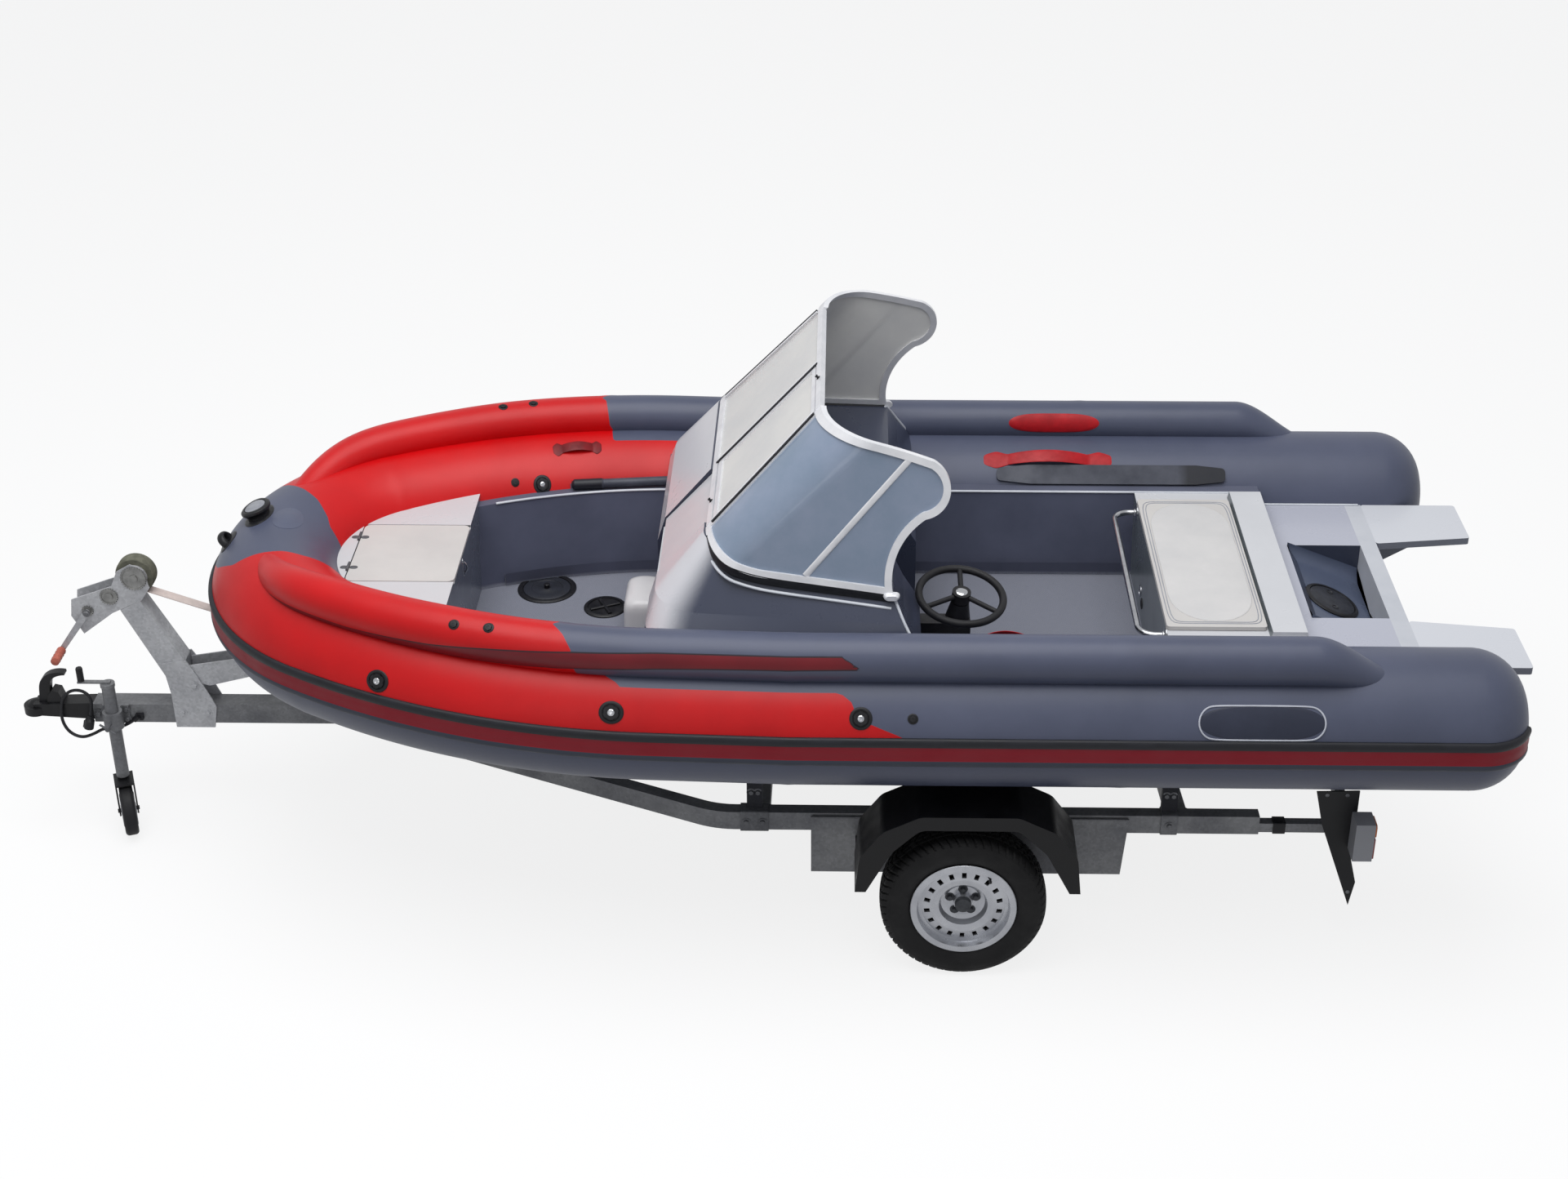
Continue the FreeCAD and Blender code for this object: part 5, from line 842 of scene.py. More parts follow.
white_gelcoat = finish("white_gelcoat", paint(208, 207, 208), paint(200, 199, 201), 0.4, (0.24, 0.36), 0.03, 0.00004,
                       Coat_Weight=0.3, Coat_Roughness=0.12)
seat_lines = []
for height, inset, corner in ((floor_top, 0.0, 0.030), (0.900, 0.0, 0.034), (0.922, 0.002, 0.036),
                              (0.938, 0.008, 0.040), (0.946, 0.018, 0.044), (0.9495, 0.034, 0.048)):
    outline = soft_rectangle(0.140 - 2 * inset, 0.230 - 2 * inset, min(corner, 0.065 - inset))
    outline += np.array([[axle_x + 1.155, -0.100]])
    seat_lines.append(np.concatenate([outline, np.full((len(outline), 1), height)], 1))
seat_shell = skin("console_seat_moulding", [capped(np.stack(seat_lines))], [white_gelcoat], "boat_and_trailer")
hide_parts("console_seat")
# painted shade: faces turned from the front towards the sides go dark blue-grey
console_gelcoat = facing_shaded("console_gelcoat", paint(200, 201, 206), paint(58, 63, 80), "X", 0.62, 0.16)
dress(console_gelcoat, "console_port", "console_starboard")
lid_gelcoat = finish("lid_gelcoat", paint(203, 204, 207), paint(192, 194, 199), 0.4, (0.24, 0.36), 0.03, 0.00004,
                     Coat_Weight=0.25, Coat_Roughness=0.15)
dress(lid_gelcoat, "walkthrough_lid", "walkthrough_door")
rake = np.radians(47.3)
slope = np.array([-np.cos(rake), 0.0, np.sin(rake)])
facing = np.array([np.sin(rake), 0.0, np.cos(rake)])
screen_foot = np.array([axle_x + 0.873, 0.0, 1.516])


def on_screen(across, up, off):
    """Point on the raked plane of the console front and windshield: so far across, up the slope
    and off it, from the middle of the windshield's foot."""
    return screen_foot + np.array([0.0, across, 0.0]) + slope * up + facing * off


port_joint = np.array([on_screen(0.4485, up, -0.0075) for up in np.linspace(-0.266, -0.018, 12)])
starboard_joint = np.array([on_screen(0.0465, up, -0.0085) for up in np.linspace(-0.266, -0.018, 12)])
skin("walkthrough_seals", [bead(port_joint, ring(0.0075, 0.007), facing),
                           bead(starboard_joint, ring(0.003, 0.005), facing)], [seal_rubber], "boat_and_trailer")
edging = eased([(axle_x + 0.172, 0.838, 1.243), (axle_x + 0.218, 0.7965, 1.319), (axle_x + 0.250, 0.744, 1.385),
                (axle_x + 0.262, 0.724, 1.402)], 3)
for hand, side in ((1, "port"), (-1, "starboard")):
    skin("console_edging_" + side, [bead(edging * np.array([1.0, hand, 1.0]), ring(0.012, 0.010), (1.0, 0.0, 0.0))],
         [trim_pale], "boat_and_trailer")


# ---- windshield -----------------------------------------------------------------------
# Bent satin aluminium frames hold pale tinted acrylic panes.  Each side pane has a raked
# stiffener strip, and the frames stand on a thick black rubber gasket with a pale bead
# below it.  A black seal runs up the front posts, and the opening pane has two latches.
frame_satin = finish("frame_satin", paint(232, 232, 235), paint(216, 217, 221), 0.1, (0.28, 0.42), 0.0008, 0.00004,
                     Metallic=0.35)
dress(frame_satin, "screen_frame_port", "screen_frame_starboard", "screen_frame_front", "screen_gate_frame")
pane_tint = finish("pane_acrylic", paint(128, 145, 166), paint(146, 158, 180), 0.3, (0.04, 0.12), 0.4, 0.0004,
                   Alpha=0.84, Coat_Weight=0.6, Coat_Roughness=0.03)
dress(pane_tint, "screen_glass_port")
pane_haze = finish("pane_haze", paint(226, 225, 222), paint(212, 212, 212), 0.3, (0.1, 0.25), 0.4, 0.0004,
                   Alpha=0.86, Coat_Weight=0.4, Coat_Roughness=0.05)
dress(pane_haze, "screen_glass_front", "screen_gate_glass", "screen_glass_starboard")


def side_pane(x, z, out=0.0):
    """Point on the port side pane's middle surface at a place seen from the side.

    Level sections: a corner arc from the raked front plane, then straight aft, with the corner's
    half width, radius and turn linear in height."""
    share = (z - 1.380) / 0.580
    half = 0.522 - 0.1067 * share
    radius = 0.163 + 0.059 * share + out
    turn = np.radians(84.0 + 0.5 * share)
    centre = 0.873 - (z - 1.516) / np.tan(rake) - (radius - out)
    bend = np.arccos(np.clip((x - centre) / radius, -1, 1))
    run = (centre + radius * np.cos(turn) - x) / np.sin(turn)
    y = np.where(run > 0, half + radius * np.sin(turn) + run * np.cos(turn), half + radius * np.sin(bend))
    return np.stack([axle_x + x, y, z], -1)


foot_line = eased([(0.868, 0, 1.513), (0.845, 0, 1.492), (0.800, 0, 1.466), (0.730, 0, 1.446), (0.660, 0, 1.434),
                   (0.45, 0, 1.417), (0.262, 0, 1.401)], 3)
gasket_section = np.array([(-0.010, 0.004), (0.012, 0.004), (0.017, -0.003), (0.019, -0.018), (0.015, -0.030),
                           (0.004, -0.034), (-0.010, -0.022), (-0.010, 0.004)])
mullion_x = np.linspace(0.0, 1.0, 14)
for hand, side in ((1, "port"), (-1, "starboard")):
    flip = np.array([1.0, hand, 1.0])
    base = side_pane(foot_line[:, 0], foot_line[:, 2])
    section = gasket_section * np.array([-hand, 1.0])
    skin("screen_gasket_" + side, [bead(base * flip, section)], [seal_rubber], "boat_and_trailer", crisp=60.0)
    below = side_pane(foot_line[:, 0], foot_line[:, 2], 0.016) - [0, 0, 0.042]
    skin("screen_bead_" + side, [bead(below * flip, ring(0.012, 0.010))], [trim_pale], "boat_and_trailer")
    foot_block = pill(0.055, 0.026, 0.022, edge=0.004, power=6.0)
    skin("screen_foot_" + side, [placed(foot_block, side_pane(0.262, 1.400, 0.002) * flip, (0.0, hand, 0.0))],
         [frame_satin], "boat_and_trailer")
    strip = side_pane(0.545 - 0.335 * mullion_x, 1.452 + 0.405 * mullion_x, 0.006)
    skin("pane_stiffener_" + side, [bead(strip * flip, ring(0.022, 0.006), (0.0, hand, 0.0))], [frame_satin],
         "boat_and_trailer")
post_line = np.array([on_screen(0.511 - 0.1357 * up, up, 0.0105) for up in np.linspace(0.03, 0.53, 20)])
for hand, side in ((1, "port"), (-1, "starboard")):
    flip = np.array([1.0, hand, 1.0])
    skin("post_seal_" + side, [bead(post_line * flip, ring(0.013, 0.007), facing)], [seal_rubber],
         "boat_and_trailer")
    strip_line = post_line - np.array([0.0, 0.013, 0.0])
    skin("post_strip_" + side, [bead(strip_line * flip, ring(0.009, 0.006), facing)], [frame_satin],
         "boat_and_trailer")
gate_line = [on_screen(0.0485, up, 0.0095) for up in np.linspace(0.02, 0.54, 12)]
skin("gate_seal", [bead(gate_line, ring(0.015, 0.008), facing)], [seal_rubber], "boat_and_trailer")
latch_foot = turning([(0, -0.001), (0.013, -0.001), (0.013, 0.003), (0.008, 0.006), (0.0065, 0.012), (0.010, 0.016),
                      (0.010, 0.019), (0.006, 0.021), (0, 0.021)], steps=28, notch=0.12)
for number, (across, up) in enumerate(((0.1835, 0.548), (0.330, 0.012))):
    skin("gate_latch_%d" % (number + 1), [placed(latch_foot * 0.6, on_screen(across, up, 0.0098), facing)],
         [valve_black], "screen_gate")


# ---- aft seat box ---------------------------------------------------------------------
# A moulded locker across the cockpit.  Its off-white lid has a raised non-slip panel edged
# by a double groove, drawn as thin grey beads of painted shade, and its front face, painted
# dark as shade, carries a polished latch and a drain socket.  A polished hoop rail stands on
# two welded flanges.
# painted shade: faces turned forward, the box's front, go darker grey
box_gelcoat = facing_shaded("box_gelcoat", paint(200, 201, 205), paint(96, 103, 108), "X", 0.6, 0.9)
dress(box_gelcoat, "seat_box")
dress(hatch_gelcoat, "seat_lid")
dress(steel_bright, "grab_rail", "tow_eye")
lid_middle = (axle_x - 0.8625, 0.0, 1.1362)
panel = pill(0.880, 0.292, 0.003, edge=0.0025, power=14.0)
grip_white = finish("non_slip_gelcoat", paint(206, 204, 203), paint(196, 195, 195), 0.3, (0.4, 0.55), 0.0035, 0.0004)
skin("seat_lid_panel", [placed(panel, lid_middle, along=(0.0, 1.0, 0.0))], [grip_white], "seat_lid")
# each groove is a thin grey bead of painted shade, following a superellipse whose power squares its corners
edge_turn = np.linspace(0, 2 * np.pi, 121)
squareness = 14.0
edge_reach = (np.abs(np.cos(edge_turn)) ** squareness + np.abs(np.sin(edge_turn)) ** squareness) ** (-1 / squareness)
lid_edges = []
for grow in (0.006, 0.016):
    outline = np.stack([(0.146 + grow) * edge_reach * np.cos(edge_turn),
                        (0.440 + grow) * edge_reach * np.sin(edge_turn), 0 * edge_turn], -1)
    lid_edges.append(placed(bead(outline, ring(0.003, 0.0035)), lid_middle))
groove_shade_beads = finish("groove_painted_shade", paint(150, 154, 164), paint(134, 138, 149), 0.2, (0.3, 0.45), 0.01, 0.0001)
skin("seat_lid_groove_shade", lid_edges, [groove_shade_beads], "seat_lid")
flush_latch = turning([(0, -0.001), (0.022, -0.001), (0.022, 0.002), (0.019, 0.004), (0.015, 0.0035), (0.0145, 0.0012),
                       (0, 0.0012)], steps=40)
latch_bar = pill(0.024, 0.009, 0.005, edge=0.002)
front_face = (axle_x - 0.6888, -0.207, 0.891)
skin("seat_latch", [placed(part, front_face, (1.0, 0.0, 0.0)) for part in (flush_latch, latch_bar)], [steel_bright],
     "boat_and_trailer")
drain_ring = turning([(0, -0.001), (0.021, -0.001), (0.021, 0.002), (0.018, 0.0035), (0.014, 0.003), (0.012, 0.0005),
                      (0, 0.0005)], steps=40)
skin("seat_drain", [placed(drain_ring, (axle_x - 0.6888, -0.145, 0.872), (1.0, 0.0, 0.0))], [valve_black],
     "boat_and_trailer")
rail_flange = turning([(0.0112, 0.012), (0.0135, 0.010), (0.0145, 0.006), (0.028, 0.0035), (0.030, 0.002),
                       (0.030, -0.001), (0.0112, -0.001), (0.0112, 0.012)], steps=40)
for hand, side in ((1, "port"), (-1, "starboard")):
    skin("rail_flange_" + side, [placed(rail_flange, (axle_x - 0.6885, 0.458 * hand, 1.090), (1.0, 0.0, 0.0))],
         [steel_bright], "boat_and_trailer")


# ---- stern ----------------------------------------------------------------------------
# Stern deck round the motor well: pale lavender-grey gelcoat on top, its faces inside the well
# painted dark as shade, with a pale bead along the tubes.  A coved tray slopes aft in the well,
# coloured dark blue-grey as the shade of the well's walls, and carries a round screw-down hatch.
# The two swim platforms are laminated and bonded to the transom; their sides are painted darker
# than their tops as shade.
# painted shade: faces that do not point up go dark blue-grey, tops stay pale
deck_gelcoat = facing_shaded("stern_gelcoat", paint(58, 63, 79), paint(176, 178, 190), "Z", 0.75, 0.95)
dress(deck_gelcoat, "stern_deck")
transom_gelcoat = finish("transom_gelcoat", paint(196, 198, 204), paint(184, 187, 194), 0.4, (0.26, 0.4),
                         0.03, 0.00004)
dress(transom_gelcoat, "transom")
# painted shade: the platforms' sides go darker than their tops
platform_gelcoat = facing_shaded("platform_gelcoat", paint(110, 114, 126), paint(203, 205, 211), "Z", 0.5, 0.9)
dress(platform_gelcoat, "swim_platforms")
bead_u = np.linspace(3.8, stern_u - 0.02, 60)
for hand, side in ((1, "port"), (-1, "starboard")):
    line = collar_point(hand * bead_u, 0.0, -0.2325, 0.0, 0.0)
    line[:, 2] = 1.0575
    line = line[(line[:, 0] < axle_x - 1.17) & (line[:, 0] > axle_x - 1.556)]
    skin("stern_bead_" + side, [bead(line, ring(0.010, 0.007))], [trim_pale], "boat_and_trailer")
well_x = np.linspace(0.0, 1.0, 14)
across = np.concatenate([[-0.268], np.linspace(-0.267, -0.217, 9), np.linspace(-0.19, 0.19, 15),
                         np.linspace(0.217, 0.267, 9), [0.268, 0.268, 0.0, -0.268, -0.268]])
cove = 0.050 - np.sqrt(np.clip(0.050 ** 2 - np.clip(np.abs(across) - 0.218, 0, 0.05) ** 2, 0, None))
tray = np.stack([np.broadcast_to(axle_x - 1.2275 - 0.269 * well_x[:, None], (14, len(across))),
                 np.broadcast_to(across, (14, len(across))),
                 1.018 - 0.106 * well_x[:, None] + cove[None]], -1)
tray[:, -4:-1, 2] = 0.8795
# painted shade: the tray is coloured as dark as the walls' shadow on it
tray_shaded = finish("well_tray_shaded", paint(84, 92, 112), paint(75, 83, 103), 0.3, (0.26, 0.4), 0.03, 0.00004)
skin("well_tray", [capped(tray)], [tray_shaded], "boat_and_trailer")
well_slope = np.array([0.3666, 0.0, 0.9304]) * np.array([-1.0, 1.0, 1.0])
well_place = np.array([axle_x - 1.3525, 0.0, 0.9693])
well_ring = turning([(0, -0.002), (0.105, -0.002), (0.105, 0.004), (0.101, 0.008), (0.091, 0.009), (0.089, 0.003),
                     (0, 0.003)], steps=72)
well_lid = turning([(0, 0.001), (0.088, 0.001), (0.088, 0.006), (0.084, 0.008), (0.012, 0.008), (0, 0.0075)], steps=72)
finger = turning([(0, 0.004), (0.013, 0.004), (0.013, 0.009), (0.011, 0.010), (0.009, 0.0078), (0, 0.0078)], steps=24)
skin("well_hatch", [placed(part, well_place, well_slope) for part in (well_ring, well_lid)]
     + [placed(finger, well_place + np.array([0, y, 0]), well_slope) for y in (0.055, -0.055)],
     [valve_black, disc_grey], "boat_and_trailer", which=[0, 1, 0, 0])
drain = turning([(0, -0.001), (0.020, -0.001), (0.020, 0.003), (0.014, 0.005), (0.012, 0.012), (0, 0.012)], steps=36)
skin("drain_plug", [placed(drain, (axle_x - 1.5602, 0.0, 0.640), (-1.0, 0.0, 0.0))], [valve_black],
     "boat_and_trailer")


# ---- steering -------------------------------------------------------------------------
# Black three-spoke wheel with a soft moulded rim and a chromed cap in its hub.  It turns on
# a black column through the dash, where a plastic bezel covers the hole.
wheel_rim = finish("wheel_rim_foam", paint(20, 20, 23), paint(30, 30, 34), 0.03, (0.45, 0.62), 0.0012, 0.00025)
dress(wheel_rim, "steering_wheel")
dress(plug_black, "steering_column")
wheel_box = [np.array(corner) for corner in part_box("steering_wheel")]
lean_out = np.array([-np.sin(np.radians(5.0)), np.sin(np.radians(11.0)), 0.0])
wheel_up = lean_out + np.array([0.0, 0.0, np.sqrt(1 - lean_out @ lean_out)])
hub_cap = turning([(0, 0.0), (0.026, 0.0), (0.026, 0.003), (0.020, 0.008), (0.010, 0.0105), (0, 0.011)], steps=40)
hub_place = (wheel_box[0] + wheel_box[1]) / 2
cap_place = hub_place + wheel_up * 0.012
skin("wheel_cap", [placed(hub_cap, cap_place, wheel_up)], [steel_bright], "steering_wheel")


# ---- trailer frame --------------------------------------------------------------------
# Two box rails run beside the wheels and bend in to a square drawbar.  Everything is welded
# steel, dipped in zinc after welding: a spangled grey skin, with coarse ridged weld seams.
def bolt_head(across=0.017, height=0.0075):
    """A hexagon bolt head on its washer, chamfered on top: the radius at each turn is half the width
    across flats over the cosine of the angle from the nearest flat's middle."""
    turn = np.linspace(0, 2 * np.pi, 61)
    hexagon = across / 2 / np.cos((turn + np.pi / 6) % (np.pi / 3) - np.pi / 6)
    washer = [(0.0, -0.0005), (across * 0.98, -0.0005), (across * 0.98, 0.0016), (across * 0.62, 0.0018)]
    rows = [np.stack([r * np.cos(turn), r * np.sin(turn), h + 0 * turn], -1) for r, h in washer]
    for share, h in ((1.0, 0.0018), (1.0, height - 0.001), (0.90, height), (0.30, height), (0.0, height)):
        r = hexagon * share
        rows.append(np.stack([r * np.cos(turn), r * np.sin(turn), h + 0 * turn], -1))
    return np.stack(rows)


def zinc(name, light, dark):
    """Hot-dip zinc: flat crystals about 9 mm across, each with its own tone."""
    material = finish(name, light, dark, 0.22, (0.36, 0.52), 0.002, 0.00008, Metallic=0.32)
    crystals = wired(material, "ShaderNodeTexVoronoi", {
        "Vector": (object_place(material), "Object"), "Scale": 110.0})
    tone = wired(material, "ShaderNodeMapRange", {"Value": (crystals, "Color"), "To Min": 0.84, "To Max": 1.12})
    shade = wired(material, "ShaderNodeMix", {
        "Factor": 1.0, "A": (material.node_tree.nodes["colour"], "Result"), "B": (tone, "Result")},
        data_type="RGBA", blend_type="MULTIPLY")
    shader = material.node_tree.nodes["Principled BSDF"]
    material.node_tree.links.new(shade.outputs["Result"], shader.inputs["Base Color"])
    return material


zinc_frame = zinc("zinc_dipped", paint(131, 132, 134), paint(106, 107, 111))
dress(zinc_frame, "side_rail_port", "side_rail_starboard", "drawbar", "cross_members", "axle")
zinc_weld = zinc("zinc_weld", paint(117, 118, 121), paint(92, 93, 97))
zinc_weld.node_tree.nodes["grain"].inputs["Scale"].default_value = 240.0
zinc_weld.node_tree.nodes["relief"].inputs["Distance"].default_value = 0.0012
for hand, side in ((1, "port"), (-1, "starboard")):
    flip = np.array([1.0, hand, 1.0])
    seams = []
    for x in (0.700, -0.750):
        for end in (-0.031, 0.031):
            seams.append([(axle_x + x + end, 0.654, 0.446), (axle_x + x + end, 0.654, 0.506)])
    seams.append([(axle_x - 0.575, 0.7115, 0.494), (axle_x + 0.524, 0.7115, 0.494)])
    seams.append([(axle_x + 0.115, 0.6535, 0.366), (axle_x + 0.186, 0.6535, 0.366)])
    skin("frame_welds_" + side, [bead(np.linspace(*np.array(seam), 24) * flip, ring(0.008, 0.008),
                                      (1.0, 0.0, 0.0) if seam[0][0] == seam[1][0] else (0.0, 0.0, 1.0))
                                 for seam in seams], [zinc_weld], "boat_and_trailer")
    bolts = [placed(bolt_head(0.019, 0.009), np.array([axle_x + x, 0.711, z]) * flip, (0.0, hand, 0.0))
             for x, z in ((0.06, 0.45), (0.24, 0.45), (0.06, 0.30), (0.24, 0.30))]
    skin("axle_plate_bolts_" + side, bolts, [zinc_weld], "boat_and_trailer")


def sleeve(start, end, middle, wide, high, wall):
    """Thin square collar round a rail that runs along x: an inner and an outer rounded rectangle,
    joined over both ends, the outer one drawn in a little at its edges."""
    outer = soft_rectangle(wide + 2 * wall, high + 2 * wall, 0.008)
    inner = soft_rectangle(wide - 0.001, high - 0.001, 0.003)
    rows = []
    for x, loop, share in ((start, inner, 1.0), (start, outer, 0.985), (start + 0.002, outer, 1.0),
                           (end - 0.002, outer, 1.0), (end, outer, 0.985), (end, inner, 1.0), (start, inner, 1.0)):
        rows.append(np.stack([np.full(len(loop), x), middle[0] + loop[:, 0] * share,
                              middle[1] + loop[:, 1] * share], -1))
    return np.stack(rows)


for hand, side in ((1, "port"), (-1, "starboard")):
    flip = np.array([1.0, hand, 1.0])
    collars = [sleeve(axle_x + 0.674, axle_x + 0.773, (0.680, 0.471), 0.050, 0.072, 0.006),
               sleeve(axle_x - 0.747, axle_x - 0.689, (0.680, 0.471), 0.050, 0.072, 0.006),
               sleeve(axle_x - 1.122, axle_x - 1.080, (0.680, 0.457), 0.036, 0.036, 0.006)]
    skin("rail_clamps_" + side, [collar * flip for collar in collars], [zinc_weld, valve_black], "boat_and_trailer",
         which=[0, 0, 1])
    heads = [placed(bolt_head(0.016, 0.008), np.array([axle_x + x, 0.7112, z]) * flip, (0.0, hand, 0.0))
             for x, z in ((0.695, 0.471), (0.752, 0.471), (-0.718, 0.471))]
    skin("clamp_bolts_" + side, heads, [zinc_weld], "boat_and_trailer")


# ---- bunks and keel roller ------------------------------------------------------------
# Boards wrapped in dark ribbed carpet carry the chines on bolted posts, and a black rubber
# roller turns under the keel.
bunk_carpet = finish("bunk_carpet", paint(36, 37, 42), paint(50, 51, 57), 0.06, (0.8, 0.95), 0.0025, 0.0012,
                     Sheen_Weight=0.3, Sheen_Roughness=0.5)
dress(bunk_carpet, "bunks")
roller_rubber = finish("roller_rubber", paint(22, 22, 24), paint(34, 34, 37), 0.06, (0.5, 0.7), 0.0015, 0.0003)
dress(roller_rubber, "keel_roller", "jockey_wheel")
slope_in = np.arctan2(0.190, 0.690)
for hand, side in ((1, "port"), (-1, "starboard")):
    ribs = []
    for step in range(9):
        y = 0.611 + 0.0073 * step
        z = 0.560 + y * np.tan(slope_in) - 0.002
        line = [(axle_x + x, y * hand, z) for x in np.linspace(-1.297, 0.997, 6)]
        ribs.append(bead(line, ring(0.0034, 0.0034, 8)))
    skin("bunk_ribs_" + side, ribs, [bunk_carpet], "boat_and_trailer")
    posts = [placed(bolt_head(0.016, 0.008), np.array([axle_x + x + end, 0.6795, 0.575]) * [1, hand, 1], (0, hand, 0))
             for x in (0.723, -0.718) for end in (-0.012, 0.012)]
    skin("bunk_bolts_" + side, posts, [zinc_weld], "boat_and_trailer")
roller_nuts = [placed(bolt_head(0.018, 0.009), (axle_x - 0.750, 0.0632 * hand, 0.515), (0, hand, 0))
               for hand in (1, -1)]
skin("keel_roller_nuts", roller_nuts, [zinc_weld], "boat_and_trailer")


# ---- lamp board -----------------------------------------------------------------------
# A zinc tube across the stern slides in the rails.  At each end it carries a black plastic
# spray flap and a grey lamp box with ribbed lenses, red below and amber above.
lamp_zinc = zinc("lamp_board_finish", paint(131, 132, 134), paint(106, 107, 111))
lamp_axes = wired(lamp_zinc, "ShaderNodeSeparateXYZ", {"Vector": (object_place(lamp_zinc), "Object")})
lamp_side = wired(lamp_zinc, "ShaderNodeMath", {0: (lamp_axes, "Y")}, operation="ABSOLUTE")
past_flap = wired(lamp_zinc, "ShaderNodeMath", {0: (lamp_side, "Value"), 1: 0.7775}, operation="GREATER_THAN")
past_box = wired(lamp_zinc, "ShaderNodeMath", {0: (lamp_side, "Value"), 1: 0.7843}, operation="GREATER_THAN")
lamp_shader = lamp_zinc.node_tree.nodes["Principled BSDF"]
lamp_colour = lamp_shader.inputs["Base Color"].links[0].from_node
flap_tone = wired(lamp_zinc, "ShaderNodeMix", {
    "Factor": (past_flap, "Value"), "A": (lamp_colour, "Result"), "B": paint(16, 17, 20)}, data_type="RGBA")
box_tone = wired(lamp_zinc, "ShaderNodeMix", {
    "Factor": (past_box, "Value"), "A": (flap_tone, "Result"), "B": paint(148, 149, 154)}, data_type="RGBA")
bare_metal = wired(lamp_zinc, "ShaderNodeMapRange", {"Value": (past_flap, "Value"), "To Min": 0.5, "To Max": 0.0})
lamp_zinc.node_tree.links.new(box_tone.outputs["Result"], lamp_shader.inputs["Base Color"])
lamp_zinc.node_tree.links.new(bare_metal.outputs["Result"], lamp_shader.inputs["Metallic"])
dress(lamp_zinc, "light_beam")
lens_red = finish("lens_red", paint(170, 12, 16), paint(140, 8, 12), 0.03, (0.06, 0.16), 0.002, 0.0003,
                  Transmission_Weight=0.2, Coat_Weight=0.6, Coat_Roughness=0.05)
lens_amber = finish("lens_amber", paint(232, 120, 14), paint(205, 96, 8), 0.03, (0.06, 0.16), 0.002, 0.0003,
                    Transmission_Weight=0.2, Coat_Weight=0.6, Coat_Roughness=0.05)


def lens(long, wide, deep, ribs):
    """Moulded lens: a rounded block, whose face rises and falls as a cosine along its length, once
    for each rib."""
    rows = [(0.0, -0.001), (1.0, -0.001), (1.0, deep * 0.6), (0.985, deep * 0.9)]
    outline = soft_rectangle(long, wide, 0.008)
    grid = [np.concatenate([outline * share, np.full((len(outline), 1), h)], 1) for share, h in rows]
    for share in np.linspace(0.95, 0.0, 12):
        flat = outline * share
        height = deep * (1 + 0.06 * np.cos(flat[:, :1] / long * 2 * np.pi * ribs))
        grid.append(np.concatenate([flat, height], 1))
    return np.stack(grid)


for hand, side in ((1, "port"), (-1, "starboard")):
    lenses = [placed(lens(long, 0.070, 0.007, ribs), (axle_x - 1.3902, 0.825 * hand, z), (-1, 0, 0), (0, 0, 1))
              for long, ribs, z in ((0.084, 9, 0.484), (0.050, 6, 0.556))]
    skin("tail_lens_" + side, lenses, [lens_red, lens_amber], "boat_and_trailer", which=[0, 1])
    rivets = [placed(flush_latch * 0.32, np.array([axle_x + x, 0.7843, z]) * [1, hand, 1], (0, hand, 0))
              for x, z in ((-1.300, 0.655), (-1.232, 0.655), (-1.345, 0.250))]
    skin("flap_rivets_" + side, rivets, [zinc_weld], "boat_and_trailer")


# ---- wheels ---------------------------------------------------------------------------
# Rubber tyres on pressed steel rims painted silver.  The tread has four grooves round it and
# cross cuts between them, and the sidewalls have fine moulded rings.  Five bolts, a dust cap
# and a rubber valve are on the outer face, and an iron brake drum fills the dish behind.
tyre_rubber = finish("tyre_rubber", paint(6, 6, 8), paint(12, 12, 14), 0.08, (0.55, 0.75), 0.0015, 0.0003)
rim_silver = finish("rim_silver", paint(188, 190, 195), paint(168, 170, 176), 0.12, (0.22, 0.34), 0.0012, 0.00006,
                    Metallic=0.75)
dress(rim_silver, "rim_port", "rim_starboard")
# half of the section as (side, radius) in mm from the bead to the shoulder, then the tread
half_section = [(58, 165.6, 0), (64, 182, 0), (71, 194, 0), (79, 211, 0), (82.3, 226, 0), (81.5, 240, 0),
                (77.5, 253.5, 0), (72.5, 265, 0), (66.0, 274.0, 0), (57, 280.6, 0)]
wall_line = eased(half_section, 2)[:, :2] / 1000
moulded_rings = (np.abs(wall_line[:, 1] - 0.200) < 0.003) + (np.abs(wall_line[:, 1] - 0.258) < 0.004)
wall_line[:, 0] += 0.0007 * moulded_rings
outer_groove, inner_groove = 0.031, 0.0105
groove_edges = np.array([0.0042, 0.0030, 0.0, -0.0030, -0.0042])
half_tread = np.concatenate([[0.0520, 0.0460, 0.0400], outer_groove + groove_edges, [0.0208],
                             inner_groove + groove_edges])
tread_y = np.concatenate([half_tread, -half_tread[::-1]])
near_groove = np.minimum(np.abs(np.abs(tread_y) - outer_groove), np.abs(np.abs(tread_y) - inner_groove))
tread_r = 0.2875 - 0.0032 * (tread_y / 0.0465) ** 2 - 0.0065 * (near_groove < 0.0031)
tyre_y = np.concatenate([wall_line[:, 0], tread_y, -wall_line[::-1, 0]])
tyre_r = np.concatenate([wall_line[:, 1], tread_r, wall_line[::-1, 1]])
steps = np.arange(601) % 600
pitch = (steps[None] + np.round(np.abs(tyre_y[:, None]) * 180).astype(int)) % 10
cut_depth = np.where(np.abs(tyre_y) > 0.036, 0.0045, 0.003)[:, None] * (np.abs(tyre_y) < 0.0725)[:, None]
cut = np.where((pitch < 1.5) & (tyre_r[:, None] > 0.262), cut_depth, 0.0)
tyre_turn = 2 * np.pi * steps / 600
